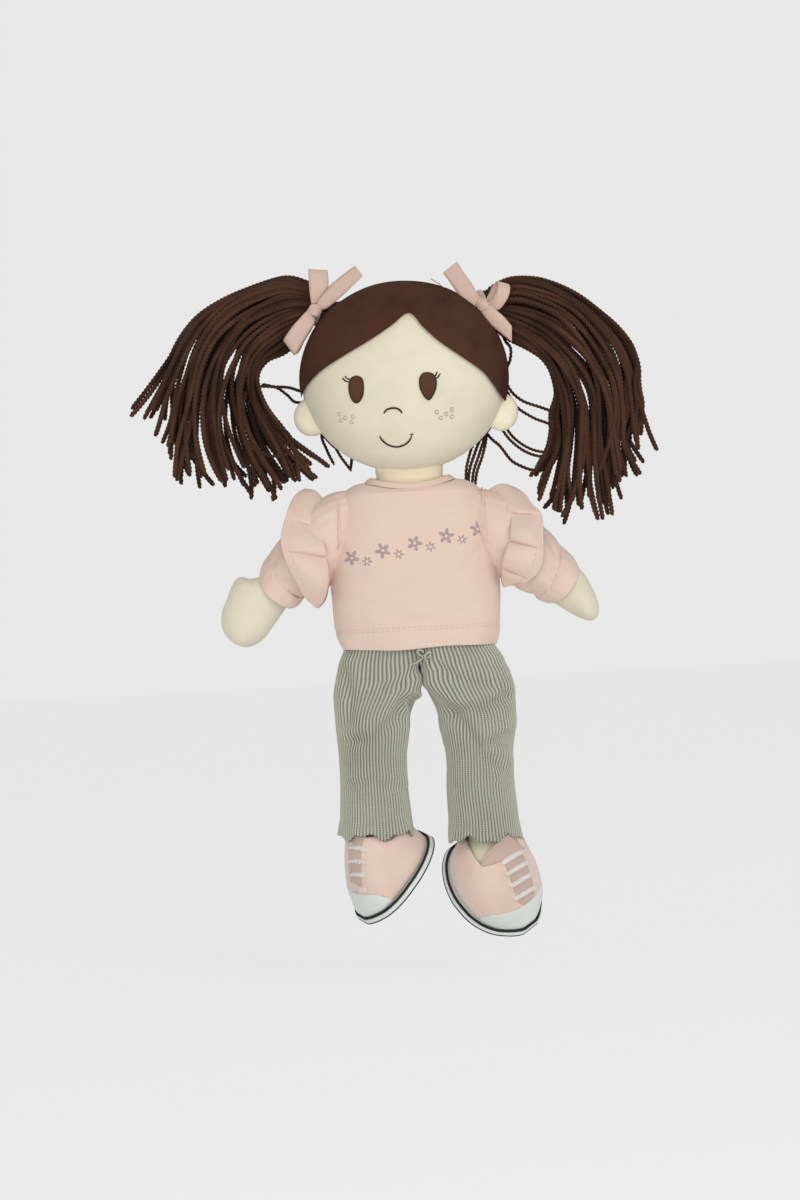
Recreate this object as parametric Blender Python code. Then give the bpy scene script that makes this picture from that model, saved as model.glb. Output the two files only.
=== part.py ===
"""Stuffed rag doll: yarn pigtails with ribbon bows, flutter-sleeve shirt, ribbed trousers, laced shoes.

The doll hangs upright, +Z up, and faces -Y, so its own left side is at +X. The origin lies inside the
waist, a little above the hem of the shirt. Every length is in metres.
"""
import math

import bmesh
import bpy
from mathutils import Matrix, Vector

X_AXIS = Vector((1, 0, 0))
Y_AXIS = Vector((0, 1, 0))
Z_AXIS = Vector((0, 0, 1))
RIGHT, LEFT = -1, 1
SIDE_NAMES = {RIGHT: "right", LEFT: "left"}

# Fabrics and fits
CLEARANCE = 0.0003
HINGE_GAP = 0.0003
PLUSH_WALL = 0.0009
JERSEY_WALL = 0.0010
KNIT_WALL = 0.0012
CUT_OVERRUN = 0.0040

# Head
HEAD_WIDTH = 0.1120
HEAD_HEIGHT = 0.1030
HEAD_DEPTH = 0.0780
HEAD_BOTTOM = 0.0926
FACE_FORWARD = 0.0040
HEAD_CENTRE = HEAD_BOTTOM + HEAD_HEIGHT / 2
HEAD_SIDES = 20
HEAD_STEPS = 10
POLE_LATITUDE = math.radians(86)
HEAD_DEPTH_FULLNESS = 2.4

# Hair cap of short plush, cut away over the face
CAP_WALL = 0.0012
HAIRLINE_DEPTH = 0.0030
NAPE_HEIGHT = 0.1060
PARTING_OFFSET = 0.0041
HAIRLINE_SHARES = ((-1.30, 0.00), (-1.00, 0.00), (-0.92, 0.17), (-0.69, 0.37), (0.00, 1.00),
                   (0.61, 0.14), (0.77, -0.05), (0.93, -0.16), (1.30, -0.16))
HAIRLINE_HALF_WIDTH = 0.0600
HAIRLINE_HEIGHT = 0.0406
TEMPLE_HEIGHT = 0.1395

# Ears
EAR_HALF_SIZES = (0.0095, 0.0055, 0.0104)
EAR_REACH = 0.0518
EAR_SETBACK = -0.0032
EAR_HEIGHTS = {RIGHT: 0.1256, LEFT: 0.1232}

# Embroidered face
PAD_WALL = 0.0007
FACE_OFFSET = -0.0070
EYE_SPACING = 0.0398
EYE_HEIGHT = 0.1394
EYE_HALF_SIZES = (0.0039, 0.0070)
STITCH_WIDTH = 0.0011
NOSE_HEIGHT = 0.1226
NOSE_RADIUS = 0.0052
NOSE_SWEEP = math.radians(54)
MOUTH_HEIGHT = 0.1175
MOUTH_RADIUS = 0.0105
MOUTH_SWEEP = math.radians(62)

# Neck: a flat tube whose domed top turns in a pocket under the head
NECK_HALF_WIDTH = 0.0188
NECK_HALF_DEPTH = 0.0135
NECK_BASE = 0.0800
NOD_HEIGHT = 0.1000
NOD_FLARE = math.radians(13)
POCKET_GAP = 0.0004
POCKET_FULLNESS = 5.0
NECK_FULLNESS = 2.3
NECK_STEPS = 5
DOME_ANGLE = math.radians(80)

# Torso
HIP_HEIGHT = -0.0240
TORSO_HALF_WIDTH = 0.0389
TORSO_HALF_DEPTH = 0.0215
BODY_FULLNESS = 2.3
TORSO_BOTTOM = HIP_HEIGHT + HINGE_GAP
TORSO_HEIGHT = NECK_BASE - CLEARANCE - TORSO_BOTTOM
TORSO_SHARES = ((0.000, 0.80, 0.012), (0.030, 0.87, 0.125), (0.095, 0.93, 0.38), (0.175, 0.94, 0.62),
                (0.260, 0.95, 0.81), (0.400, 0.98, 0.93), (0.590, 1.00, 1.00), (0.760, 0.995, 0.95),
                (0.890, 0.90, 0.80), (0.960, 0.68, 0.68), (1.000, 0.49, 0.60))

# Shoulders and arms; each route is given as shares of the arm's spread and drop from the shoulder
SHOULDER_HEIGHT = 0.0620
ARM_FACE = 0.0394
ARMHOLE_RADIUS = 0.0203
ARM_SPREAD = 0.0590
ARM_DROP = 0.0590
ARM_HALF_WIDTH = 0.0134
ARM_ROUTE_SHARES = {
    RIGHT: ((0.00, 0.00), (0.12, 0.00), (0.28, 0.14), (0.45, 0.31), (0.60, 0.46), (0.74, 0.60), (0.85, 0.71),
            (0.93, 0.83), (0.98, 0.94), (0.99, 0.985)),
    LEFT: ((0.00, 0.00), (0.12, 0.00), (0.27, 0.14), (0.42, 0.32), (0.56, 0.48), (0.68, 0.61), (0.79, 0.71),
           (0.87, 0.80), (0.94, 0.88), (0.97, 0.92)),
}
ARM_GIRTH_SHARES = ((1.05, 1.05), (1.06, 1.06), (1.00, 1.00), (0.93, 0.90), (0.90, 0.86), (0.94, 0.82),
                    (1.06, 0.80), (1.02, 0.72), (0.74, 0.50), (0.36, 0.22))
THUMB_RISE = 0.0048
THUMB_TILT = math.radians(31)
THUMB_SHARES = (0.0, 0.0, 0.0, 0.0, 0.0, 0.0, 1.0, 0.55, 0.0, 0.0)

# Sleeves, cuffs and ruffles
SLEEVE_HALF_WIDTH = 0.0196
SLEEVE_PLACE_SHARES = {RIGHT: (0.0, 1.0, 1.8, 2.5, 3.1, 3.6), LEFT: (0.0, 1.0, 1.9, 2.7, 3.4, 3.9)}
SLEEVE_TILT_SHARES = (0.00, 0.00, 0.35, 0.70, 1.00, 1.00)
SLEEVE_GIRTH_SHARES = (1.00, 1.00, 0.95, 0.88, 0.82, 0.74)
CUFF_LENGTH = 0.0080
CUFF_WALL = 0.0014
CUFF_SHARES = ((0.0, -0.2), (0.5, 0.0), (1.0, -0.2))
RUFFLE_WALL = 0.0009
RUFFLE_LIFT = 0.0330
RUFFLE_CENTRE_HEIGHT = 0.0530
RUFFLE_HALF_DEPTH = 0.0250
RUFFLE_EDGE = 0.0517
RUFFLE_LEAN = 0.0037
RUFFLE_BULGE = 0.0150
RUFFLE_PLEATS = 6
RUFFLE_PLEAT_DEPTH = 0.0013
RUFFLE_STEPS = 3
RUFFLE_SIDES = 30
RUFFLE_SEAT_SHARE = 0.02

# Shirt
HEM_HEIGHT = -0.0045
COLLAR_HEIGHT = 0.0023
SHIRT_TOP = 0.0877
SHIRT_HEIGHT = SHIRT_TOP - HEM_HEIGHT
SHIRT_HALF_WIDTH = 0.0463
SHIRT_HALF_DEPTH = 0.0260
SHIRT_SHARES = ((0.00, 0.91, 0.96), (0.08, 0.965, 0.98), (0.27, 1.00, 1.00), (0.48, 1.00, 0.98),
                (0.65, 0.975, 0.94), (0.79, 0.93, 0.85), (0.89, 0.85, 0.75), (0.955, 0.69, 0.69),
                (1.00, 0.53, 0.65))
COLLAR_HALF_WIDTH = 0.0215
COLLAR_HALF_DEPTH = 0.0171
NECKLINE_DIP = 0.0046

# Trousers
WAIST_HEIGHT = 0.0060
ELASTIC_WALL = 0.0009
ELASTIC_HEIGHT = 0.0065
SEAT_HALF_WIDTH = 0.0486
SEAT_HALF_DEPTH = 0.0235
SEAT_OFFSET = 0.0016
SEAT_FULLNESS = 2.4
CROTCH_HEIGHT = -0.0264
SEAT_SHARES = ((1.00, 0.00, 0.835, 0.93), (0.68, 0.10, 0.82, 0.93), (0.42, 0.60, 0.92, 0.98),
               (0.20, 1.00, 0.965, 0.96), (0.06, 1.00, 0.94, 0.86), (0.00, 1.00, 0.88, 0.74))
SEAT_LEG_SHARES = ((0.00, 0.70, 0.60), (0.30, 0.94, 0.90), (0.62, 1.00, 0.99), (1.00, 1.00, 1.00))
SEAT_BOTTOM = -0.0450
LEG_CENTRES = {RIGHT: -0.0272, LEFT: 0.0302}
TROUSER_HALF_WIDTHS = {RIGHT: 0.0200, LEFT: 0.0208}
TROUSER_HALF_DEPTH = 0.0182
TROUSER_BOTTOMS = {RIGHT: -0.0955, LEFT: -0.1000}
TROUSER_SHARES = {
    RIGHT: ((0.00, 0.00, 1.00, 1.00), (0.33, -0.045, 0.91, 0.97), (0.66, -0.045, 0.92, 0.95),
            (1.00, -0.040, 0.96, 0.97)),
    LEFT: ((0.00, 0.00, 1.01, 1.00), (0.33, 0.000, 0.86, 0.97), (0.66, -0.015, 0.88, 0.95),
           (1.00, 0.040, 0.90, 0.97)),
}
HEM_DROP = 0.0100
HEM_FLARE = 0.0012
HEM_WAVE = 0.0028
HEM_WAVES = 5
HEM_SIDES = 20
TIE_HALF_SIZES = (0.0040, 0.0016, 0.0014)
TIE_HEIGHTS = (-0.0072, -0.0090)
TIE_OFFSET = 0.0022

# Legs: pinched flat at the hip seam, ending in a ball inside the shoe
LEG_HALF_WIDTH = 0.0158
LEG_HALF_DEPTH = 0.0150
ANKLE_RADIUS = 0.0098
ANKLE_BALL_SHARES = (0.0, 0.25, 0.5, 0.75, 0.95)
ANKLE_CENTRES = {RIGHT: -0.0262, LEFT: 0.0319}
ANKLE_HEIGHTS = {RIGHT: -0.1022, LEFT: -0.1130}
LEG_SHARES = ((0.000, 0.92, 0.017), (0.036, 0.95, 0.165), (0.120, 1.00, 0.53), (0.225, 1.00, 0.88),
              (0.340, 1.00, 1.00), (0.620, 0.93, 0.97), (0.860, 0.74, 0.76))

# Feet: a standing foot facing -Y, rolled to show its inner side, pitched toe-down, then swung outwards
FOOT_LENGTH = 0.0590
FOOT_HALF_WIDTH = 0.0200
FOOT_HEIGHT = 0.0410
HEEL_SETBACK = 0.0130
SOLE_DEPTH_BELOW_ANKLE = 0.0265
WALL_TOP_SHARE = 0.4
WALL_BREADTH_SHARE = 0.4
FOOT_ROLLS = {RIGHT: math.radians(-60), LEFT: math.radians(30)}
FOOT_PITCHES = {RIGHT: math.radians(80), LEFT: math.radians(76)}
FOOT_SWINGS = {RIGHT: math.radians(40), LEFT: math.radians(-39)}
FOOT_SHARES = ((0.00, 0.20, 0.36), (0.03, 0.42, 0.58), (0.10, 0.66, 0.80), (0.22, 0.86, 0.96),
               (0.38, 0.98, 1.00), (0.51, 1.00, 0.92), (0.62, 1.00, 0.78), (0.75, 0.93, 0.58),
               (0.86, 0.77, 0.40), (0.94, 0.52, 0.24), (0.985, 0.30, 0.14), (1.00, 0.16, 0.09))
SHOE_WALL = 0.0011
FOOT_CLEARANCE = 0.0007
THROAT_HALF_WIDTH = 0.0050
THROAT_END = 0.0375
TOE_CAP_SHARE = 0.156
TOE_CAP_SLANT = math.radians(18)
SOLE_WALL = 0.0030
PIPING_RADIUS = 0.0007
LACE_COUNT = 4
LACE_HALF_LENGTH = 0.0088
LACE_HALF_WIDTH = 0.0014
LACE_PITCH = 0.0063
LACE_START = 0.0153
LACE_SPINE = 0.0012
LACE_WALL = 0.0010

# Gathered roots of the pigtails, their ties and their bows
TIE_POINT = (0.0495, 0.0030, 0.1850)
GATHER_TILT = math.radians(24)
GATHER_RADIUS = 0.0070
GATHER_LENGTH = 0.0160
GATHER_SHARES = ((1.00, 1.35), (0.50, 1.08), (0.26, 0.90), (0.18, 0.94), (0.10, 0.72), (0.02, 0.30),
                 (0.00, 0.10))
TIE_SETBACK = 0.0042
TIE_TUBE_RADIUS = 0.0013
RIBBON_WIDTH = 0.0100
RIBBON_WALL = 0.0006
KNOT_HALF_SIZES = (0.0046, 0.0032, 0.0046)
LOOP_DEPTH = 0.0048
BOW_LOOPS = {RIGHT: ((86, 0.0205), (226, 0.0235)), LEFT: ((36, 0.0170), (150, 0.0110))}
BOW_TAILS = {RIGHT: ((36, 0.0310),), LEFT: ((127, 0.0270), (316, 0.0225))}

# Pigtails: routes as shares of the reach from the tie and of the drop below it
PIGTAIL_REACH = 0.0900
PIGTAIL_DROP = 0.1100
PIGTAIL_DEPTH = 0.0100
FULLEST_SHARE = 0.8
FULLNESS_SHARE = 0.75
LOCK_RADIUS = 0.0092
LOCK_SIDES = 7
LOCK_STEPS = 7
LOCKS_IN_FRONT, LOCKS_BEHIND = 5, 4
PIGTAIL_ROUTE_SHARES = {
    RIGHT: (((0.00, 0.00), (0.11, -0.15), (0.26, -0.30), (0.31, -0.50), (0.23, -0.69), (0.10, -0.84)),
            ((0.00, 0.00), (0.14, -0.06), (0.33, -0.19), (0.44, -0.45), (0.42, -0.74), (0.34, -1.00)),
            ((0.00, 0.00), (0.18, -0.01), (0.45, -0.12), (0.61, -0.37), (0.68, -0.65), (0.69, -0.89)),
            ((0.00, 0.00), (0.21, 0.00), (0.48, -0.07), (0.71, -0.27), (0.86, -0.49), (0.91, -0.69))),
    LEFT: (((0.00, 0.00), (0.11, -0.14), (0.28, -0.29), (0.37, -0.51), (0.36, -0.77), (0.30, -1.01)),
           ((0.00, 0.00), (0.14, -0.06), (0.35, -0.22), (0.48, -0.47), (0.52, -0.80), (0.55, -1.14)),
           ((0.00, 0.00), (0.18, -0.02), (0.42, -0.14), (0.59, -0.38), (0.66, -0.68), (0.69, -0.99)),
           ((0.00, 0.00), (0.21, -0.01), (0.44, -0.07), (0.64, -0.25), (0.74, -0.50), (0.75, -0.79))),
}
LOCK_GIRTH_SHARES = (0.50, 0.76, 0.96, 1.02, 1.02, 0.98, 0.84, 0.42)

COLOURS = {
    "cream_plush": ((0.88, 0.84, 0.72), 0.95),
    "fibre_fill": ((0.93, 0.92, 0.89), 1.00),
    "brown_plush": ((0.28, 0.18, 0.13), 0.95),
    "brown_yarn": ((0.20, 0.14, 0.11), 0.90),
    "brown_thread": ((0.27, 0.18, 0.15), 0.60),
    "blush_ribbon": ((0.85, 0.73, 0.66), 0.45),
    "pink_jersey": ((0.90, 0.78, 0.71), 0.90),
    "sage_knit": ((0.63, 0.63, 0.56), 0.92),
    "elastic": ((0.90, 0.90, 0.88), 0.70),
    "shoe_pink": ((0.89, 0.79, 0.72), 0.80),
    "shoe_white": ((0.86, 0.87, 0.85), 0.70),
    "shoe_line": ((0.17, 0.20, 0.19), 0.70),
}


def clear_scene():
    for obj in list(bpy.data.objects):
        bpy.data.objects.remove(obj, do_unlink=True)


def to_linear(value):
    return value / 12.92 if value <= 0.04045 else ((value + 0.055) / 1.055) ** 2.4


def make_material(name, colour, roughness):
    material = bpy.data.materials.new(name)
    material.use_nodes = True
    shader = material.node_tree.nodes["Principled BSDF"]
    shader.inputs["Base Color"].default_value = [to_linear(part) for part in colour] + [1]
    shader.inputs["Roughness"].default_value = roughness
    shader.inputs["Metallic"].default_value = 0
    return material


def make_pivot(name, place):
    pivot = bpy.data.objects.new(name, None)
    pivot.location = place
    bpy.context.collection.objects.link(pivot)
    return pivot


def finish_object(bm, name, colour, pivot=None):
    """Closed mesh with its faces out, smooth shaded, hung on its pivot."""
    bmesh.ops.recalc_face_normals(bm, faces=bm.faces)
    mesh = bpy.data.meshes.new(name)
    bm.to_mesh(mesh)
    bm.free()
    mesh.shade_smooth()
    mesh.set_sharp_from_angle(angle=math.radians(50))
    obj = bpy.data.objects.new(name, mesh)
    bpy.context.collection.objects.link(obj)
    if colour:
        mesh.materials.append(materials[colour])
    if pivot:
        obj.parent = pivot
        obj.matrix_parent_inverse = Matrix.Translation(-pivot.location)
    return obj


def hide_guide(obj):
    obj.hide_render = True
    obj.display_type = "WIRE"
    return obj


def combine(target, operation, *others):
    for other in others:
        modifier = target.modifiers.new(operation.lower(), "BOOLEAN")
        modifier.operation = operation
        modifier.solver = "EXACT"
        modifier.object = hide_guide(other)
    return target


def oval(centre, half_width, half_depth, sides, across=X_AXIS, deep=Y_AXIS, fullness=2.0):
    """Ring of points on an oval; a fullness above 2 squares it off."""
    points = []
    for step in range(sides):
        angle = math.tau * step / sides
        wide, far = math.cos(angle), math.sin(angle)
        wide = math.copysign(abs(wide) ** (2 / fullness), wide)
        far = math.copysign(abs(far) ** (2 / fullness), far)
        points.append(Vector(centre) + across * (half_width * wide) + deep * (half_depth * far))
    return points


def add_loop(bm, points):
    return [bm.verts.new(point) for point in points]


def bridge(bm, loops):
    """Band of triangles between each ring and the next; the rings have the same number of points.

    The diagonals always run the same way, so that a lining keeps its gap to the shell round it.
    """
    for first, second in zip(loops, loops[1:]):
        for index in range(len(first)):
            bm.faces.new((first[index - 1], first[index], second[index]))
            bm.faces.new((first[index - 1], second[index], second[index - 1]))


def cap(bm, loop):
    bm.faces.new(loop)


def solid(name, rings, colour=None, pivot=None):
    """Closed form lofted through its rings and capped at both ends."""
    bm = bmesh.new()
    loops = [add_loop(bm, ring) for ring in rings]
    bridge(bm, loops)
    cap(bm, loops[0])
    cap(bm, loops[-1])
    return finish_object(bm, name, colour, pivot)


def sack(name, outer, inner, colour, pivot=None):
    """Shell with a wall, open at the first ring and closed at the last."""
    bm = bmesh.new()
    outside = [add_loop(bm, ring) for ring in outer]
    inside = [add_loop(bm, ring) for ring in inner]
    bridge(bm, outside)
    bridge(bm, inside)
    bridge(bm, [outside[0], inside[0]])
    cap(bm, outside[-1])
    cap(bm, inside[-1])
    return finish_object(bm, name, colour, pivot)


def tube(name, outer, inner, colour, pivot=None):
    """Shell with a wall, open at both ends."""
    bm = bmesh.new()
    outside = [add_loop(bm, ring) for ring in outer]
    inside = [add_loop(bm, ring) for ring in inner]
    bridge(bm, outside)
    bridge(bm, inside)
    bridge(bm, [outside[0], inside[0]])
    bridge(bm, [outside[-1], inside[-1]])
    return finish_object(bm, name, colour, pivot)


def prism(name, outline, push):
    """Flat outline pushed out into a solid cutter."""
    bm = bmesh.new()
    face = bm.faces.new([bm.verts.new(point) for point in outline])
    pushed = bmesh.ops.extrude_face_region(bm, geom=[face])
    corners = [item for item in pushed["geom"] if isinstance(item, bmesh.types.BMVert)]
    bmesh.ops.translate(bm, verts=corners, vec=push)
    return hide_guide(finish_object(bm, name, None))


def ellipsoid(name, centre, half_sizes, colour, pivot=None, segments=16, rings=10):
    bm = bmesh.new()
    bmesh.ops.create_uvsphere(bm, u_segments=segments, v_segments=rings, radius=1)
    bmesh.ops.scale(bm, vec=half_sizes, verts=bm.verts)
    bmesh.ops.translate(bm, vec=centre, verts=bm.verts)
    return finish_object(bm, name, colour, pivot)


def route_rings(points, half_widths, half_depths, sides, fullness=2.0):
    """Rings square to a route that bends in the XZ plane; the depth is along Y."""
    rings = []
    for index, point in enumerate(points):
        ahead = points[min(index + 1, len(points) - 1)] - points[max(index - 1, 0)]
        across = Y_AXIS.cross(ahead).normalized()
        rings.append(oval(point, half_widths[index], half_depths[index], sides, across, Y_AXIS, fullness))
    return rings


def smooth_route(points, steps):
    """Points read from a Catmull-Rom curve through a route's own points."""
    padded = [points[0] * 2 - points[1]] + list(points) + [points[-1] * 2 - points[-2]]
    spans = len(points) - 1
    route = []
    for step in range(steps + 1):
        place = step * spans / steps
        span = min(int(place), spans - 1)
        t = place - span
        a, b, c, d = padded[span:span + 4]
        route.append(b + (c - a) * (t / 2) + (a * 2 - b * 5 + c * 4 - d) * (t * t / 2)
                     + (b * 3 - a - c * 3 + d) * (t ** 3 / 2))
    return route


def stacked_rings(shares, bottom, height, half_width, half_depth, sides, inset=0.0, centre=(0, 0),
                  fullness=BODY_FULLNESS):
    """Level rings up a form, from its height, width and depth shares, drawn in by an inset."""
    rings = []
    for lift, wide, deep in shares:
        if half_depth * deep - inset < CLEARANCE / 2:
            continue
        place = Vector((centre[0], centre[1], bottom + height * lift))
        rings.append(oval(place, half_width * wide - inset, half_depth * deep - inset, sides,
                          fullness=fullness))
    return rings


def head_form(grow):
    """The head's rounded pillow shape, grown or shrunk evenly."""
    rings = []
    for step in range(HEAD_STEPS + 1):
        latitude = POLE_LATITUDE * (2 * step / HEAD_STEPS - 1)
        lift = math.sin(latitude)
        deep = (1 - abs(lift) ** HEAD_DEPTH_FULLNESS) ** (1 / HEAD_DEPTH_FULLNESS)
        centre = (0, -FACE_FORWARD, HEAD_CENTRE + (HEAD_HEIGHT / 2 + grow) * lift)
        rings.append(oval(centre, (HEAD_WIDTH / 2 + grow) * math.cos(latitude),
                          (HEAD_DEPTH / 2 + grow) * deep, HEAD_SIDES))
    return rings


def head_solid(name, grow, colour=None, pivot=None):
    return solid(name, head_form(grow), colour, pivot)


def neck_profile(gap, flare):
    """Rings of the neck from its base to its domed top, or of the pocket that it turns in."""
    half_width, half_depth = NECK_HALF_WIDTH + gap, NECK_HALF_DEPTH + gap
    rings = []
    base = NECK_BASE
    spread = (NOD_HEIGHT - base) * math.tan(flare)
    fullness = POCKET_FULLNESS if gap else NECK_FULLNESS
    rings.append(oval((0, 0, base), half_width, half_depth + spread, 18, fullness=fullness))
    for step in range(NECK_STEPS + 1):
        angle = DOME_ANGLE * step / NECK_STEPS
        narrowing = 1 if gap else 1 - math.sin(angle) ** 2 / 5
        rings.append(oval((0, 0, NOD_HEIGHT + half_depth * math.sin(angle)), half_width * narrowing,
                          half_depth * math.cos(angle), 18, fullness=fullness))
    return rings


def build_head(pivot):
    pocket = solid("neck_pocket_cutter", neck_profile(POCKET_GAP, NOD_FLARE))
    combine(head_solid("head_skin", 0.0, "cream_plush", pivot), "DIFFERENCE",
            head_solid("head_hollow_cutter", -PLUSH_WALL), pocket)
    combine(head_solid("head_stuffing", -PLUSH_WALL - CLEARANCE, "fibre_fill", pivot), "DIFFERENCE", pocket)
    seat = head_solid("head_seat_cutter", CLEARANCE)

    outline = [Vector((PARTING_OFFSET + HAIRLINE_HALF_WIDTH * wide, -HEAD_DEPTH,
                       TEMPLE_HEIGHT + HAIRLINE_HEIGHT * high)) for wide, high in HAIRLINE_SHARES]
    widest = HAIRLINE_HALF_WIDTH * HAIRLINE_SHARES[-1][0]
    outline += [Vector((side * widest, -HEAD_DEPTH, HEAD_BOTTOM - CUT_OVERRUN)) for side in (LEFT, RIGHT)]
    face_cutter = prism("face_cutter", outline, Y_AXIS * (HEAD_DEPTH + HAIRLINE_DEPTH))
    nape = [Vector((side * HEAD_WIDTH, 0, height)) for side, height in
            ((-1, HEAD_BOTTOM - CUT_OVERRUN), (1, HEAD_BOTTOM - CUT_OVERRUN), (1, NAPE_HEIGHT), (-1, NAPE_HEIGHT))]
    nape_cutter = prism("nape_cutter", nape, Y_AXIS * HEAD_DEPTH)
    combine(head_solid("hair_cap", CLEARANCE + CAP_WALL, "brown_plush", pivot), "DIFFERENCE",
            seat, face_cutter, nape_cutter)

    for side in (RIGHT, LEFT):
        centre = (side * EAR_REACH, EAR_SETBACK, EAR_HEIGHTS[side])
        ear = ellipsoid(f"ear_{SIDE_NAMES[side]}", centre, EAR_HALF_SIZES, "cream_plush", pivot, 12, 6)
        combine(ear, "DIFFERENCE", seat)
    build_face(pivot, seat)


def arc_strip(centre, radius, middle, sweep, width, steps=8):
    """Flat strip bent round an arc, as an outline in the XZ plane in front of the face."""
    outline = []
    for row, reach in ((1, radius + width / 2), (-1, radius - width / 2)):
        for step in range(steps + 1):
            angle = middle + row * sweep * (2 * step / steps - 1)
            outline.append(Vector((centre[0] + reach * math.cos(angle), -HEAD_DEPTH,
                                   centre[1] + reach * math.sin(angle))))
    return outline


def build_face(pivot, seat):
    """Satin-stitched eyes, nose and mouth, each a thin pad that follows the face."""
    surface = head_solid("pad_surface_cutter", CLEARANCE + PAD_WALL)
    outlines = {}
    for side in (RIGHT, LEFT):
        centre = (FACE_OFFSET + side * EYE_SPACING / 2, -HEAD_DEPTH, EYE_HEIGHT)
        outlines[f"eye_{SIDE_NAMES[side]}"] = oval(centre, EYE_HALF_SIZES[0], EYE_HALF_SIZES[1], 14,
                                                   X_AXIS, Z_AXIS)
    outlines["nose"] = arc_strip((FACE_OFFSET, NOSE_HEIGHT), NOSE_RADIUS, math.pi / 2, NOSE_SWEEP,
                                 STITCH_WIDTH)
    outlines["mouth"] = arc_strip((FACE_OFFSET, MOUTH_HEIGHT), MOUTH_RADIUS, -math.pi / 2, MOUTH_SWEEP,
                                  STITCH_WIDTH)
    for name, outline in outlines.items():
        pad = dress(prism(name, outline, Y_AXIS * HEAD_DEPTH), "brown_thread", pivot)
        combine(pad, "INTERSECT", surface)
        combine(pad, "DIFFERENCE", seat)


def gather_axis(side):
    return Vector((side * math.cos(GATHER_TILT), 0, math.sin(GATHER_TILT)))


def tie_place(side):
    return Vector((side * TIE_POINT[0], TIE_POINT[1], TIE_POINT[2]))


def build_gather(side, pivot):
    """Gathered yarn root that the cap carries, with the elastic tie round its waist."""
    axis, tie = gather_axis(side), tie_place(side)
    deep = axis.cross(Y_AXIS)
    rings = []
    for setback_share, girth_share in GATHER_SHARES:
        place = tie - axis * (CLEARANCE + GATHER_LENGTH * setback_share)
        rings.append(oval(place, GATHER_RADIUS * girth_share, GATHER_RADIUS * girth_share, 12, Y_AXIS, deep))
    name = SIDE_NAMES[side]
    gather = solid(f"hair_gather_{name}", rings, "brown_yarn", pivot)
    combine(gather, "DIFFERENCE", head_solid(f"gather_seat_cutter_{name}", 2 * CLEARANCE + CAP_WALL))

    ring_radius = GATHER_RADIUS * GATHER_SHARES[3][1] + CLEARANCE + TIE_TUBE_RADIUS
    bm = bmesh.new()
    centre = tie - axis * TIE_SETBACK
    start = centre + Y_AXIS * ring_radius
    profile = add_loop(bm, oval(start, TIE_TUBE_RADIUS, TIE_TUBE_RADIUS, 5, Y_AXIS, axis))
    edges = [bm.edges.new((profile[index - 1], profile[index])) for index in range(len(profile))]
    bmesh.ops.spin(bm, geom=edges, cent=centre, axis=axis, angle=math.tau, steps=12, use_merge=True)
    finish_object(bm, f"hair_tie_{name}", "blush_ribbon", pivot)
    return centre - Y_AXIS * (ring_radius + TIE_TUBE_RADIUS + CLEARANCE + KNOT_HALF_SIZES[1])


def ribbon(name, path, across, width):
    """Flat ribbon swept along a path, its width along a fixed direction."""
    rings = []
    for index, point in enumerate(path):
        ahead = path[min(index + 1, len(path) - 1)] - path[max(index - 1, 0)]
        thick = ahead.cross(across).normalized() * (RIBBON_WALL / 2)
        side = across * (width / 2)
        rings.append([point + side + thick, point - side + thick, point - side - thick, point + side - thick])
    return solid(name, rings)


def loop_path(knot, direction, length, steps=6):
    """Teardrop that leaves the knot at its front and comes back behind it."""
    path = []
    for step in range(steps + 1):
        angle = math.pi * (step / steps - 0.5)
        reach = KNOT_HALF_SIZES[0] / 3 + length * math.cos(angle)
        path.append(knot + direction * reach + Y_AXIS * (LOOP_DEPTH / 2 * math.sin(angle)))
    return path


def tail_path(knot, direction, length, lean, steps=2):
    return [knot + direction * (length * step / steps) + Y_AXIS * (lean * (step / steps) ** 2)
            for step in range(steps + 1)]


def build_bow(side, knot, pivot):
    """Bow of ribbon on the front of the tie: loops and tails fused to the knot."""
    name = SIDE_NAMES[side]
    bow = ellipsoid(f"bow_{name}", knot, KNOT_HALF_SIZES, "blush_ribbon", pivot, 8, 6)
    for index, (degrees, length) in enumerate(BOW_LOOPS[side]):
        direction = Vector((math.cos(math.radians(degrees)), 0, math.sin(math.radians(degrees))))
        across = direction.cross(Y_AXIS)
        path = loop_path(knot, direction, length)
        combine(bow, "UNION", ribbon(f"bow_loop_{name}_{index}", path, across, RIBBON_WIDTH))
    for index, (degrees, length) in enumerate(BOW_TAILS[side]):
        direction = Vector((math.cos(math.radians(degrees)), 0, math.sin(math.radians(degrees))))
        across = direction.cross(Y_AXIS)
        path = tail_path(knot, direction, length, -LOOP_DEPTH / 3)
        combine(bow, "UNION", ribbon(f"bow_tail_{name}_{index}", path, across, RIBBON_WIDTH))
    combine(bow, "DIFFERENCE", head_solid(f"bow_seat_cutter_{name}", 2 * CLEARANCE + CAP_WALL))


def pigtail_root(side):
    return tie_place(side) + gather_axis(side) * (GATHER_RADIUS + CLEARANCE)


def pigtail_route(side, share, layer):
    """Route of one lock, blended between the neighbouring guide routes."""
    guides = PIGTAIL_ROUTE_SHARES[side]
    place = share * (len(guides) - 1)
    first = min(int(place), len(guides) - 2)
    blend = place - first
    root = pigtail_root(side)
    points = []
    for step, (near, far) in enumerate(zip(guides[first], guides[first + 1])):
        reach = near[0] * (1 - blend) + far[0] * blend
        rise = near[1] * (1 - blend) + far[1] * blend
        along = step / (len(guides[first]) - 1)
        depth = PIGTAIL_DEPTH * (along + layer * math.sin(math.pi * along * FULLEST_SHARE) * FULLNESS_SHARE)
        points.append(root + Vector((side * PIGTAIL_REACH * reach, depth, PIGTAIL_DROP * rise)))
    return points


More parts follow.
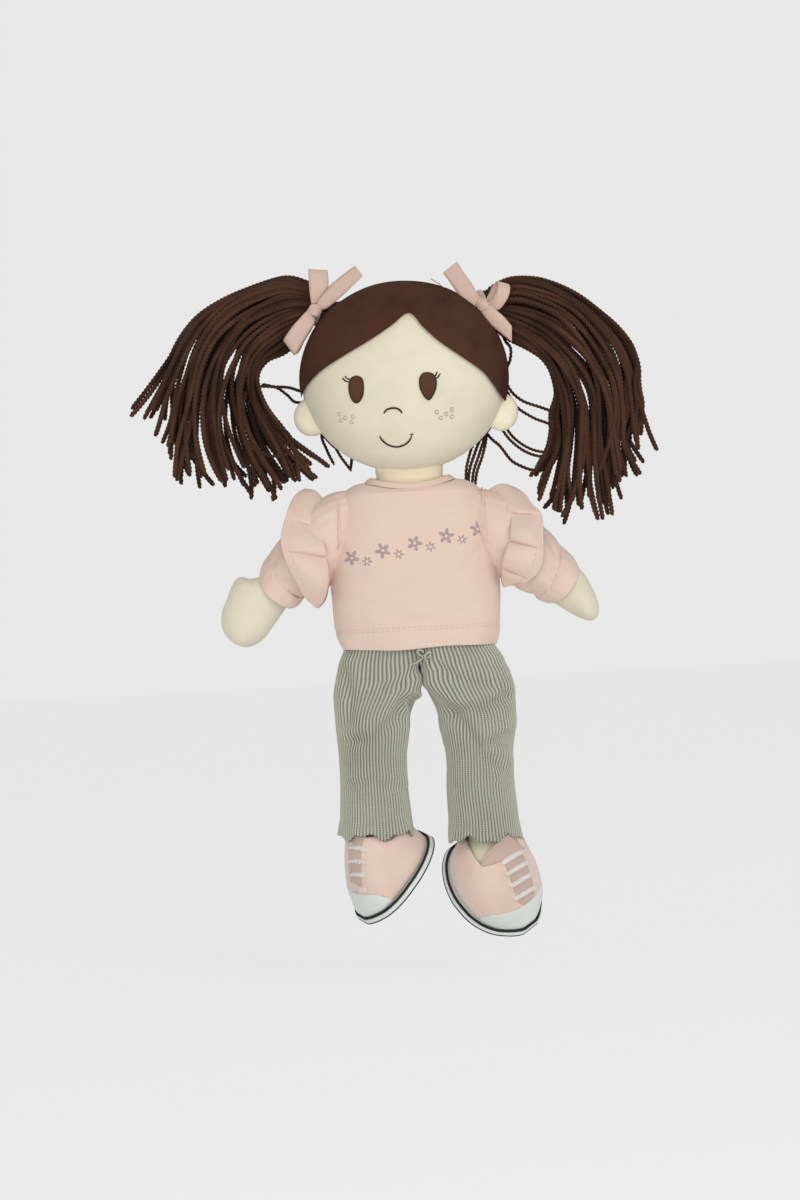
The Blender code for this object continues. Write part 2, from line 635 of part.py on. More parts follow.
def build_pigtail(side, pivot):
    """Bunch of yarn locks that spring from the tie, arch over and hang, fused into one form."""
    name = SIDE_NAMES[side]
    rows = [(index / (LOCKS_IN_FRONT - 1), -1) for index in range(LOCKS_IN_FRONT)]
    rows += [((index + 0.5) / LOCKS_BEHIND, 1) for index in range(LOCKS_BEHIND)]
    locks = []
    for index, (share, layer) in enumerate(rows):
        route = smooth_route(pigtail_route(side, share, layer), LOCK_STEPS)
        girths = [LOCK_RADIUS * girth for girth in LOCK_GIRTH_SHARES]
        lock_name = f"pigtail_{name}_lock_{index}"
        locks.append(solid(lock_name, route_rings(route, girths, girths, LOCK_SIDES)))
    pigtail = ellipsoid(f"pigtail_{name}", pigtail_root(side), (GATHER_RADIUS,) * 3, "brown_yarn", pivot,
                        12, 8)
    combine(pigtail, "UNION", *locks)


def torso_rings(inset, sides=16):
    rings = stacked_rings(TORSO_SHARES, TORSO_BOTTOM, TORSO_HEIGHT, TORSO_HALF_WIDTH, TORSO_HALF_DEPTH,
                          sides, inset)
    for point in rings[0]:
        point.z += inset
    return rings


def build_torso():
    outer = list(reversed(torso_rings(0.0)))
    inner = list(reversed(torso_rings(PLUSH_WALL)))
    sack("torso_skin", outer, inner, "cream_plush")
    solid("torso_stuffing", list(reversed(torso_rings(PLUSH_WALL + CLEARANCE))), "fibre_fill")


def build_neck(pivot):
    solid("neck", neck_profile(0.0, 0.0), "cream_plush", pivot)


def dip_front(ring, dip):
    """Lower a neckline ring towards the front."""
    deepest = min(point.y for point in ring)
    return [point - Z_AXIS * (dip * max(0, point.y / deepest) ** 2) for point in ring]


def build_shirt():
    def rings(inset):
        form = stacked_rings(SHIRT_SHARES, HEM_HEIGHT, SHIRT_HEIGHT, SHIRT_HALF_WIDTH, SHIRT_HALF_DEPTH,
                             22, inset)
        form[-1] = dip_front(form[-1], NECKLINE_DIP)
        form[-2] = dip_front(form[-2], NECKLINE_DIP / 2)
        return form

    shirt = tube("shirt_body", rings(0.0), rings(JERSEY_WALL), "pink_jersey")
    for side in (RIGHT, LEFT):
        start = (side * (ARM_FACE - CLEARANCE), 0, SHOULDER_HEIGHT)
        circle = oval(start, ARMHOLE_RADIUS, ARMHOLE_RADIUS, 22, Y_AXIS, Z_AXIS)
        combine(shirt, "DIFFERENCE", prism(f"armhole_cutter_{SIDE_NAMES[side]}", circle,
                                           X_AXIS * (side * SHIRT_HALF_WIDTH)))

    def collar_rings(inset):
        low = SHIRT_SHARES[-1]
        foot = oval((0, 0, SHIRT_TOP + CLEARANCE), SHIRT_HALF_WIDTH * low[1] - inset,
                    SHIRT_HALF_DEPTH * low[2] - inset, 22, fullness=BODY_FULLNESS)
        top = oval((0, 0, SHIRT_TOP + COLLAR_HEIGHT), COLLAR_HALF_WIDTH - inset, COLLAR_HALF_DEPTH - inset, 22)
        return [dip_front(foot, NECKLINE_DIP), dip_front(top, NECKLINE_DIP)]

    tube("shirt_collar", collar_rings(0.0), collar_rings(JERSEY_WALL), "pink_jersey")


def arm_route(side, reach_and_drop):
    return [Vector((side * (ARM_FACE + ARM_SPREAD * reach), 0, SHOULDER_HEIGHT - ARM_DROP * drop))
            for reach, drop in reach_and_drop]


def arm_rings(side, inset, sides=10):
    """Rings down the arm, with the thumb as a swelling on the outer side of the hand."""
    points = arm_route(side, ARM_ROUTE_SHARES[side])
    wide = [ARM_HALF_WIDTH * share[0] - inset for share in ARM_GIRTH_SHARES]
    deep = [ARM_HALF_WIDTH * share[1] - inset for share in ARM_GIRTH_SHARES]
    rings = route_rings(points, wide, deep, sides)
    outward = Vector((side * math.cos(THUMB_TILT), 0, math.sin(THUMB_TILT)))
    for ring, centre, thumb in zip(rings, points, THUMB_SHARES):
        for index, point in enumerate(ring):
            facing = max(0, (point - centre).normalized().dot(outward))
            ring[index] = point + outward * (THUMB_RISE * thumb * facing ** 4)
    return rings


def trim_rings(rings, inset):
    """Draw the last ring back by an inset, so that a shell keeps its wall at its closed end."""
    before, last = rings[-2], rings[-1]
    rings[-1] = [point + (near - point).normalized() * inset for near, point in zip(before, last)]
    return rings


def flatten_first(ring, plane):
    return [Vector((plane, point.y, point.z)) for point in ring]


def build_arm(side, pivot):
    name = SIDE_NAMES[side]
    outer, inner = arm_rings(side, 0.0), trim_rings(arm_rings(side, PLUSH_WALL), PLUSH_WALL)
    filling = trim_rings(arm_rings(side, PLUSH_WALL + CLEARANCE), PLUSH_WALL + CLEARANCE)
    for form in (outer, inner, filling):
        form[0] = flatten_first(form[0], side * ARM_FACE)
    sack(f"arm_skin_{name}", outer, inner, "cream_plush", pivot)
    solid(f"arm_stuffing_{name}", filling, "fibre_fill", pivot)


def sleeve_route(side):
    """Points picked along the arm's route, each place counted in steps of that route."""
    arm = arm_route(side, ARM_ROUTE_SHARES[side])
    points = []
    for place in SLEEVE_PLACE_SHARES[side]:
        step = int(place)
        points.append(arm[step].lerp(arm[step + 1], place - step))
    return points


def sleeve_rings(side, inset, sides=14):
    """Rings that start square to the shoulder joint and tilt to the arm by degrees."""
    points = sleeve_route(side)
    slope = points[-1] - points[-2]
    tilt = math.atan2(-slope.z, abs(slope.x))
    rings = []
    for point, girth, turned in zip(points, SLEEVE_GIRTH_SHARES, SLEEVE_TILT_SHARES):
        ahead = Vector((side * math.cos(tilt * turned), 0, -math.sin(tilt * turned)))
        radius = SLEEVE_HALF_WIDTH * girth - inset
        rings.append(oval(point, radius, radius, sides, Y_AXIS.cross(ahead), Y_AXIS))
    return rings


def build_sleeve(side, pivot):
    """Puffed sleeve from the armhole to its cuff, with a pleated ruffle round the shoulder."""
    name = SIDE_NAMES[side]
    outer, inner = sleeve_rings(side, 0.0), sleeve_rings(side, JERSEY_WALL)
    tube(f"sleeve_{name}", outer, inner, "pink_jersey", pivot)

    points = sleeve_route(side)
    along = (points[-1] - points[-2]).normalized()
    across = Y_AXIS.cross(along)
    girth = SLEEVE_HALF_WIDTH * SLEEVE_GIRTH_SHARES[-1]
    cuff_outer, cuff_inner = [], []
    for share, grow in CUFF_SHARES:
        place = points[-1] + along * (CLEARANCE * 3 + CUFF_LENGTH * share)
        cuff_outer.append(oval(place, girth + CUFF_WALL * grow, girth + CUFF_WALL * grow, 14, across, Y_AXIS))
        cuff_inner.append(oval(place, girth - CUFF_WALL, girth - CUFF_WALL, 14, across, Y_AXIS))
    tube(f"cuff_{name}", cuff_outer, cuff_inner, "pink_jersey", pivot)
    build_ruffle(side, pivot)


def build_ruffle(side, pivot):
    """Frill sewn round the sleeve: it stands up over the shoulder, hangs under it and bulges between."""
    seat = sleeve_route(side)[1]
    seat.x += side * (ARM_FACE * RUFFLE_SEAT_SHARE)
    seat_radius = SLEEVE_HALF_WIDTH + 3 * CLEARANCE + RUFFLE_WALL / 2
    bm = bmesh.new()
    loops = []
    for row in range(RUFFLE_STEPS + 1):
        share = row / RUFFLE_STEPS
        points = []
        for index in range(RUFFLE_SIDES):
            angle = math.tau * index / RUFFLE_SIDES
            high, far = math.cos(angle), math.sin(angle)
            inner = seat + Vector((0, seat_radius * far, seat_radius * high))
            bulge = abs(far) ** 1.5
            outer = Vector((side * (RUFFLE_EDGE + RUFFLE_LEAN * high + RUFFLE_BULGE * bulge), RUFFLE_HALF_DEPTH * far,
                            RUFFLE_CENTRE_HEIGHT + RUFFLE_LIFT * high))
            pleat = RUFFLE_PLEAT_DEPTH * share * math.cos(2 * RUFFLE_PLEATS * angle)
            outward = Vector((0, far, high))
            points.append(inner.lerp(outer, share) + outward * pleat)
        loops.append(add_loop(bm, points))
    bridge(bm, loops)
    ruffle = finish_object(bm, f"ruffle_{SIDE_NAMES[side]}", "pink_jersey", pivot)
    wall = ruffle.modifiers.new("wall", "SOLIDIFY")
    wall.thickness = RUFFLE_WALL
    wall.offset = 0
    seat = solid(f"ruffle_seat_cutter_{SIDE_NAMES[side]}", sleeve_rings(side, -CLEARANCE))
    combine(ruffle, "DIFFERENCE", seat)


def seat_rings(inset, lengthen):
    """Rings of the trousers from the waist down to the crotch."""
    rings = []
    for lift, shift, wide, deep in SEAT_SHARES:
        height = CROTCH_HEIGHT + (WAIST_HEIGHT - CROTCH_HEIGHT) * lift
        if lift == 1:
            height += lengthen
        if lift == 0:
            height += inset
        rings.append(oval((SEAT_OFFSET * shift, 0, height), SEAT_HALF_WIDTH * wide - inset,
                          SEAT_HALF_DEPTH * deep - inset, 20, fullness=SEAT_FULLNESS))
    return rings


def upper_leg_rings(side, inset, lengthen):
    top = HIP_HEIGHT + (WAIST_HEIGHT - HIP_HEIGHT) / 4
    rings = []
    for drop, wide, deep in SEAT_LEG_SHARES:
        height = top - (top - SEAT_BOTTOM) * drop
        if drop == 1:
            height -= lengthen
        inward = TROUSER_HALF_WIDTHS[side] * (1 - wide) / 2
        rings.append(oval((LEG_CENTRES[side] - side * inward, 0, height), TROUSER_HALF_WIDTHS[side] * wide - inset,
                          TROUSER_HALF_DEPTH * deep - inset, 16))
    return rings


def build_trousers(leg_pivots):
    """Seat with its two upper legs, the elastic and tie at its waist, then the legs and their frilled hems."""
    seat = solid("trouser_seat", seat_rings(0.0, 0.0), "sage_knit")
    combine(seat, "UNION", *[solid(f"seat_leg_{SIDE_NAMES[side]}", upper_leg_rings(side, 0.0, 0.0))
                             for side in (RIGHT, LEFT)])
    combine(seat, "DIFFERENCE", solid("seat_hollow_cutter", seat_rings(KNIT_WALL, CUT_OVERRUN)))
    combine(seat, "DIFFERENCE", *[solid(f"seat_leg_cutter_{SIDE_NAMES[side]}",
                                        upper_leg_rings(side, KNIT_WALL, CUT_OVERRUN)) for side in (RIGHT, LEFT)])

    def elastic_rings(grow):
        waist = TORSO_SHARES[4]
        return [oval((0, 0, height), TORSO_HALF_WIDTH * waist[1] + CLEARANCE + grow,
                     TORSO_HALF_DEPTH * waist[2] + CLEARANCE * 5 + grow, 24, fullness=BODY_FULLNESS)
                for height in (WAIST_HEIGHT - CLEARANCE - ELASTIC_HEIGHT, WAIST_HEIGHT - CLEARANCE)]

    tube("waist_elastic", elastic_rings(ELASTIC_WALL), elastic_rings(0.0), "elastic")
    front = SEAT_HALF_DEPTH * SEAT_SHARES[1][3] + CLEARANCE * 2 + TIE_HALF_SIZES[1]
    knot = ellipsoid("waist_tie", (TIE_OFFSET, -front, TIE_HEIGHTS[0]), TIE_HALF_SIZES, "sage_knit", None, 10, 6)
    end = ellipsoid("waist_tie_end", (-TIE_OFFSET / 2, -front, TIE_HEIGHTS[1]), TIE_HALF_SIZES, None, None, 10, 6)
    combine(knot, "UNION", end)

    for side, pivot in leg_pivots.items():
        build_trouser_leg(side, pivot)


def trouser_leg_rings(side, inset):
    length = SEAT_BOTTOM - CLEARANCE - TROUSER_BOTTOMS[side]
    half_width = TROUSER_HALF_WIDTHS[side]
    rings = []
    for drop, shift, wide, deep in TROUSER_SHARES[side]:
        centre = (LEG_CENTRES[side] + half_width * shift, 0, SEAT_BOTTOM - CLEARANCE - length * drop)
        rings.append(oval(centre, half_width * wide - inset, TROUSER_HALF_DEPTH * deep - inset, 16))
    return rings


def build_trouser_leg(side, pivot):
    name = SIDE_NAMES[side]
    tube(f"trouser_leg_{name}", trouser_leg_rings(side, 0.0), trouser_leg_rings(side, KNIT_WALL),
         "sage_knit", pivot)

    shift, wide, deep = TROUSER_SHARES[side][-1][1:]
    half_width, half_depth = TROUSER_HALF_WIDTHS[side] * wide, TROUSER_HALF_DEPTH * deep
    centre_x = LEG_CENTRES[side] + TROUSER_HALF_WIDTHS[side] * shift

    def hem_rings(inset):
        bottom = TROUSER_BOTTOMS[side]
        top = oval((centre_x, 0, bottom - CLEARANCE), half_width - inset, half_depth - inset, HEM_SIDES)
        rings = [top]
        for share in (1 / 2, 1):
            flare = HEM_FLARE * share - inset
            ring = oval((centre_x, 0, bottom - HEM_DROP * share), half_width + flare, half_depth + flare,
                        HEM_SIDES)
            for index, point in enumerate(ring):
                wave = math.cos(HEM_WAVES * math.tau * index / HEM_SIDES + side)
                point.z -= HEM_WAVE * share * wave
            rings.append(ring)
        return rings

    tube(f"trouser_hem_{name}", hem_rings(0.0), hem_rings(KNIT_WALL), "sage_knit", pivot)


def leg_rings(side, inset, sides=10):
    """Rings from the pinched seam at the hip down to the ball in the ankle."""
    top, ankle = HIP_HEIGHT - HINGE_GAP, ANKLE_HEIGHTS[side]
    lean = ANKLE_CENTRES[side] - LEG_CENTRES[side]
    rings = []
    for drop, wide, deep in LEG_SHARES:
        if LEG_HALF_DEPTH * deep - inset < CLEARANCE / 2:
            continue
        centre = (LEG_CENTRES[side] + lean * drop ** 2, 0, top - (top - ankle) * drop)
        rings.append(oval(centre, LEG_HALF_WIDTH * wide - inset, LEG_HALF_DEPTH * deep - inset, sides))
    for point in rings[0]:
        point.z -= inset
    radius = ANKLE_RADIUS - inset
    for latitude_share in ANKLE_BALL_SHARES:
        latitude = math.pi / 2 * latitude_share
        centre = (ANKLE_CENTRES[side], 0, ankle - radius * math.sin(latitude))
        rings.append(oval(centre, radius * math.cos(latitude), radius * math.cos(latitude), sides))
    return rings


def build_leg(side, pivot):
    name = SIDE_NAMES[side]
    skin = solid(f"leg_skin_{name}", leg_rings(side, 0.0), "cream_plush", pivot)
    combine(skin, "DIFFERENCE", solid(f"leg_hollow_cutter_{name}", leg_rings(side, PLUSH_WALL)),
            leg_slit_cutter(side))
    solid(f"leg_stuffing_{name}", leg_rings(side, PLUSH_WALL + CLEARANCE), "fibre_fill", pivot)


def leg_slit_cutter(side):
    """Slit in the back seam of the leg, where it was turned and filled."""
    middle = (HIP_HEIGHT + ANKLE_HEIGHTS[side]) / 2
    slit = oval((LEG_CENTRES[side], LEG_HALF_DEPTH / 2, middle), PLUSH_WALL, LEG_HALF_WIDTH / 2, 8, X_AXIS, Z_AXIS)
    return prism(f"leg_slit_cutter_{SIDE_NAMES[side]}", slit, Y_AXIS * LEG_HALF_DEPTH)


def ankle_place(side):
    return Vector((ANKLE_CENTRES[side], 0, ANKLE_HEIGHTS[side]))


def shoe_top(side):
    return TROUSER_BOTTOMS[side] - HEM_DROP - HEM_WAVE - 2 * CLEARANCE


def foot_frame(side):
    """Standing foot's axes carried into the hanging pose, with its origin on the ankle joint."""
    return (Matrix.Translation(ankle_place(side)) @ Matrix.Rotation(FOOT_SWINGS[side], 4, "Y")
            @ Matrix.Rotation(FOOT_PITCHES[side], 4, "X") @ Matrix.Rotation(FOOT_ROLLS[side], 4, "Y"))


def along_foot(share, grow):
    """How far behind the ankle a share of the foot's length lies, the ends pushed out by the growth."""
    return HEEL_SETBACK - FOOT_LENGTH * share + grow * math.copysign(abs(2 * share - 1) ** 4, 0.5 - share)


def foot_rings(side, grow, sides=12):
    """D-shaped rings from the heel to the toe of a standing foot, carried into place."""
    frame = foot_frame(side)
    floor = -SOLE_DEPTH_BELOW_ANKLE - grow
    rings = []
    for share, wide, high in FOOT_SHARES:
        reach = along_foot(share, grow)
        height = FOOT_HEIGHT * high + 2 * grow
        half_width = FOOT_HALF_WIDTH * wide + grow
        ring = []
        for index in range(sides):
            angle = math.tau * index / sides
            across, rise = math.cos(angle), math.sin(angle)
            lift = height * (WALL_TOP_SHARE + (1 - WALL_TOP_SHARE) * rise)
            if rise < 0:
                across = math.copysign(abs(across) ** WALL_BREADTH_SHARE, across)
                lift = height * WALL_TOP_SHARE * (1 - math.sqrt(abs(rise)))
            ring.append(frame @ Vector((half_width * across, reach, floor + lift)))
        rings.append(ring)
    return rings


def foot_form(label, side, grow):
    return solid(f"{label}_{SIDE_NAMES[side]}", foot_rings(side, grow))


def sole_outline(side, grow, height):
    """Plan of the foot as a closed line, grown outwards, at a height of the standing foot."""
    frame = foot_frame(side)
    near, far = [], []
    for share, wide, _ in FOOT_SHARES:
        half_width = FOOT_HALF_WIDTH * wide + grow
        near.append(frame @ Vector((half_width, along_foot(share, grow), height)))
        far.append(frame @ Vector((-half_width, along_foot(share, grow), height)))
    return near + list(reversed(far))


def build_foot(side, pivot):
    """Stuffed foot in a soft laced shoe: upper, toe cap, tongue, laces, sole and the piping round it."""
    name = SIDE_NAMES[side]
    frame = foot_frame(side)
    ankle = ankle_place(side)

    def on_foot(outline, start, push, label):
        corners = [frame @ Vector((wide, -ahead, start)) for wide, ahead in outline]
        return prism(f"{label}_{name}", corners, (frame.to_3x3() @ Z_AXIS) * push)

    def rectangle(half_width, start, end):
        return [(-half_width, start), (half_width, start), (half_width, end), (-half_width, end)]

    def above(height, label):
        corners = oval((ankle.x, 0, height), FOOT_LENGTH * 2, FOOT_LENGTH * 2, 4)
        return prism(f"{label}_{name}", corners, Z_AXIS * FOOT_LENGTH)

    foot = solid(f"foot_{name}", foot_rings(side, -SHOE_WALL - FOOT_CLEARANCE), "cream_plush", pivot)
    socket = ellipsoid(f"ankle_socket_cutter_{name}", ankle, (ANKLE_RADIUS + 2 * CLEARANCE,) * 3, None, None,
                       16, 10)
    combine(foot, "DIFFERENCE", above(shoe_top(side), "foot_top_cutter"), hide_guide(socket))

    hollow = foot_form("shoe_hollow_cutter", side, -SHOE_WALL)
    cap_edge = HEEL_SETBACK - FOOT_LENGTH * (1 - TOE_CAP_SHARE)
    slant = Matrix.Rotation(TOE_CAP_SLANT, 3, "X")

    def half_space(label, offset, push):
        edge = Vector((0, cap_edge + offset, 0))
        corners = [frame @ (edge + slant @ Vector((x * FOOT_LENGTH, 0, z * FOOT_LENGTH)))
                   for x, z in ((-1, -1), (1, -1), (1, 1), (-1, 1))]
        return prism(f"{label}_{name}", corners, (frame.to_3x3() @ (slant @ Y_AXIS)) * push)

    upper = solid(f"shoe_upper_{name}", foot_rings(side, 0.0), "shoe_pink", pivot)
    throat = on_foot(rectangle(THROAT_HALF_WIDTH, 0.0, THROAT_END), 0.0, FOOT_HEIGHT, "throat_cutter")
    combine(upper, "DIFFERENCE", hollow, above(shoe_top(side), "shoe_top_cutter"), throat,
            half_space("toe_side_cutter", 0.0, -FOOT_LENGTH))
    toe = solid(f"toe_cap_{name}", foot_rings(side, 0.0), "shoe_white", pivot)
    combine(toe, "DIFFERENCE", hollow, half_space("heel_side_cutter", -CLEARANCE, FOOT_LENGTH * 2))

    tongue = on_foot(rectangle(THROAT_HALF_WIDTH - CLEARANCE, CLEARANCE, THROAT_END - CLEARANCE),
                     CLEARANCE, FOOT_HEIGHT, "tongue")
    dress(tongue, "shoe_pink", pivot)
    combine(tongue, "INTERSECT", foot_form("tongue_surface_cutter", side, 0.0))
    combine(tongue, "DIFFERENCE", hollow, above(shoe_top(side), "tongue_top_cutter"))

    rungs = []
    for index in range(LACE_COUNT):
        middle = LACE_START + LACE_PITCH * index
        rungs += [(LACE_SPINE, middle - LACE_HALF_WIDTH), (LACE_HALF_LENGTH, middle - LACE_HALF_WIDTH),
                  (LACE_HALF_LENGTH, middle + LACE_HALF_WIDTH), (LACE_SPINE, middle + LACE_HALF_WIDTH)]
    ladder = rungs + [(-wide, ahead) for wide, ahead in reversed(rungs)]
    laces = on_foot(ladder, 0.0, FOOT_HEIGHT, "laces")
    dress(laces, "shoe_white", pivot)
    combine(laces, "INTERSECT", foot_form("laces_surface_cutter", side, CLEARANCE + LACE_WALL))
    combine(laces, "DIFFERENCE", foot_form("laces_seat_cutter", side, CLEARANCE))

    rim = 2 * PIPING_RADIUS + 2 * CLEARANCE
    floor = -SOLE_DEPTH_BELOW_ANKLE - CLEARANCE
    sole_rings = [sole_outline(side, rim, floor),
                  sole_outline(side, rim + SOLE_WALL / 8, floor - SOLE_WALL / 2),
                  sole_outline(side, rim, floor - SOLE_WALL)]
    solid(f"sole_{name}", sole_rings, "shoe_white", pivot)

    centre_line = sole_outline(side, PIPING_RADIUS + CLEARANCE, floor + PIPING_RADIUS + CLEARANCE)
    closed_tube(f"sole_piping_{name}", centre_line, PIPING_RADIUS, (frame.to_3x3() @ Z_AXIS), "shoe_line", pivot)


def closed_tube(name, line, radius, upright, colour, pivot, sides=5):
    """Thin round tube along a closed line that lies in one plane."""
    bm = bmesh.new()
    loops = []
    for index, point in enumerate(line):
        along = (line[(index + 1) % len(line)] - line[index - 1]).normalized()
        loops.append(add_loop(bm, oval(point, radius, radius, sides, along.cross(upright), upright)))
    bridge(bm, loops + loops[:1])
    return finish_object(bm, name, colour, pivot)


def dress(obj, colour, pivot):
    """Turn a prism into a finished piece of the object."""
    obj.hide_render = False
    obj.display_type = "TEXTURED"
    obj.data.materials.append(materials[colour])
    obj.parent = pivot
    obj.matrix_parent_inverse = Matrix.Translation(-pivot.location)
    return obj


def build_all():
    turn = make_pivot("head_turn_pivot", (0, 0, NECK_BASE))
    nod = make_pivot("head_nod_pivot", (0, 0, NOD_HEIGHT))
    build_torso()
    build_neck(turn)
    build_head(nod)
    build_shirt()
    leg_pivots = {}
    for side in (RIGHT, LEFT):
        name = SIDE_NAMES[side]
        knot = build_gather(side, nod)
        build_bow(side, knot, nod)
        build_pigtail(side, make_pivot(f"pigtail_pivot_{name}", tie_place(side)))
        shoulder = make_pivot(f"shoulder_pivot_{name}", (side * ARM_FACE, 0, SHOULDER_HEIGHT))
        build_arm(side, shoulder)
        build_sleeve(side, shoulder)
        leg_pivots[side] = make_pivot(f"hip_pivot_{name}", (LEG_CENTRES[side], 0, HIP_HEIGHT))
        build_leg(side, leg_pivots[side])
        build_foot(side, make_pivot(f"ankle_pivot_{name}", ankle_place(side)))
    build_trousers(leg_pivots)


clear_scene()
materials = {name: make_material(name, colour, roughness) for name, (colour, roughness) in COLOURS.items()}
build_all()
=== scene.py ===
"""Looks of the rag doll: plush head, yarn pigtails, ribbon bows, jersey shirt, rib-knit trousers, shoes."""
import math
import random

import bmesh
import bpy
from mathutils import Matrix, Vector, noise
from mathutils.bvhtree import BVHTree


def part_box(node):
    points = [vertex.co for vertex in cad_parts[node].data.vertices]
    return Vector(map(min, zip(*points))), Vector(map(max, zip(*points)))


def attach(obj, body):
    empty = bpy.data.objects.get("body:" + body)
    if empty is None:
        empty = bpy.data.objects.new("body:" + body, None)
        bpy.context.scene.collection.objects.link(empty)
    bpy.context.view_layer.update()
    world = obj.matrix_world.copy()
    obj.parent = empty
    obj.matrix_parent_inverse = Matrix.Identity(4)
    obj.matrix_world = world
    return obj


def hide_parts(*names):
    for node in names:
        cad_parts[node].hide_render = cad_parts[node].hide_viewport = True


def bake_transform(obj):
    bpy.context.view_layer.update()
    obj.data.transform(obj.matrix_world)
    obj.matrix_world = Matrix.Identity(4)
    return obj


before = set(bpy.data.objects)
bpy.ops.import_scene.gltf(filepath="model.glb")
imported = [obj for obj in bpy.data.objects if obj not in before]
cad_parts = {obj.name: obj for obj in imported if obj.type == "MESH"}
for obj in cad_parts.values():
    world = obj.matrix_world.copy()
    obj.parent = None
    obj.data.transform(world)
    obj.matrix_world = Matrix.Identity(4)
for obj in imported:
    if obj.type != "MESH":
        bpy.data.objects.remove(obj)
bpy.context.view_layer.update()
noise.seed_set(7)

MM = 0.001
MARK = 0.55 * MM
MIDDLE_MARK = (418, 640)
VIEW_MARK = (400, 600)
VIEW_MARKS_HIGH = 1200
VIEW_ROLL = math.radians(3)
EYE_DISTANCE = 1.6
SIDES = {"right": -1, "left": 1}
X_AXIS, Y_AXIS, Z_AXIS = Vector((1, 0, 0)), Vector((0, 1, 0)), Vector((0, 0, 1))


def on_plane(u, v):
    """Point of the front view, counted in marks from its top left corner, on the doll's middle plane."""
    across, up = u - MIDDLE_MARK[0], MIDDLE_MARK[1] - v
    turn, lift = math.cos(VIEW_ROLL), math.sin(VIEW_ROLL)
    return Vector((MARK * (across * turn + up * lift), 0, MARK * (up * turn - across * lift)))


EYE_POINT = on_plane(*VIEW_MARK) - Y_AXIS * EYE_DISTANCE


def at_depth(point, depth):
    """Slide a point of the middle plane along its line of sight to a depth."""
    return EYE_POINT + (Vector((point.x, 0, point.z)) - EYE_POINT) * (1 + depth / EYE_DISTANCE)


def seen(u, v, depth=0.0):
    """Point behind a mark of the front view, at a depth in millimetres."""
    return at_depth(on_plane(u, v), depth * MM)


def mm(x, y, z):
    return Vector((x, y, z)) * MM


# Shader groups and materials


def linear(value):
    value /= 255
    return value / 12.92 if value <= 0.04045 else ((value + 0.055) / 1.055) ** 2.4


def tint(red, green, blue):
    return (linear(red), linear(green), linear(blue), 1)


def add(tree, kind, inputs=None, **settings):
    """Node to the right of the tree's others, its inputs linked or set."""
    node = tree.nodes.new(kind)
    node.location.x = 220 * len(tree.nodes)
    for name, value in settings.items():
        setattr(node, name, value)
    for key, value in (inputs or {}).items():
        if isinstance(value, bpy.types.NodeSocket):
            tree.links.new(value, node.inputs[key])
        else:
            node.inputs[key].default_value = value
    return node


def reckon(tree, operation, *values):
    return add(tree, "ShaderNodeMath", dict(enumerate(values)), operation=operation).outputs[0]


def cloudy(tree, place, scale, detail=2.0):
    return add(tree, "ShaderNodeTexNoise", {"Vector": place, "Scale": scale, "Detail": detail}).outputs["Fac"]


def own_place(tree, kind="Object"):
    return add(tree, "ShaderNodeTexCoord").outputs[kind]


def blended(tree, factor, first, second):
    return add(tree, "ShaderNodeMix", {"Factor": factor, 6: first, 7: second}, data_type="RGBA").outputs[2]


def effect(name, outputs, **inputs):
    """Node group with named inputs and outputs, and the sockets of its inputs."""
    group = bpy.data.node_groups.new(name, "ShaderNodeTree")
    for label, value in inputs.items():
        kind = "NodeSocketFloat" if isinstance(value, float) else "NodeSocketVector"
        group.interface.new_socket(label, in_out="INPUT", socket_type=kind).default_value = value
    for label in outputs:
        group.interface.new_socket(label, in_out="OUTPUT", socket_type="NodeSocketFloat")
    return group, add(group, "NodeGroupInput").outputs


def pile_effect():
    """Nap of plush and velour: patches of light and dark, and a fine fibre height."""
    group, given = effect("nap of pile", ("Tone_and_painted_shade", "Height"), Fibre=2200.0, Patch=60.0)
    place = own_place(group)
    fibre = cloudy(group, place, given["Fibre"])
    patch = cloudy(group, place, given["Patch"], 3.0)
    clump = cloudy(group, place, 420.0)
    tone = reckon(group, "MULTIPLY_ADD", patch, 0.75, reckon(group, "MULTIPLY", fibre, 0.55))
    rise = reckon(group, "MULTIPLY_ADD", clump, 0.8, fibre)
    add(group, "NodeGroupOutput", {"Tone_and_painted_shade": tone, "Height": rise})
    return group


def rows_effect(name, stretch):
    """Rows that follow a piece's own map: stitches of jersey, ribs of ribbon or turns of thread, with painted
    shade in the grooves between them.
    """
    group, given = effect(name, ("Tone_and_painted_shade", "Height"), Across=1.0, Along=1.0, Slant=0.0)
    parts = add(group, "ShaderNodeSeparateXYZ", {0: own_place(group, "UV")}).outputs
    u = reckon(group, "MULTIPLY", parts[0], given["Across"])
    v = reckon(group, "MULTIPLY", parts[1], given["Along"])
    lean = reckon(group, "MULTIPLY_ADD", reckon(group, "PINGPONG", u, 1.0), given["Slant"], v)
    wave = reckon(group, "SINE", reckon(group, "MULTIPLY", lean, math.tau))
    column = reckon(group, "COSINE", reckon(group, "MULTIPLY", u, math.tau))
    rise = reckon(group, "MULTIPLY_ADD", column, stretch, wave)
    # The tone follows the rows' own height: lighter on the raised rows, darker in the grooves between them,
    # which is painted shade.
    tone = reckon(group, "MULTIPLY_ADD", rise, 0.25, 0.5)
    add(group, "NodeGroupOutput", {"Tone_and_painted_shade": tone, "Height": rise})
    return group


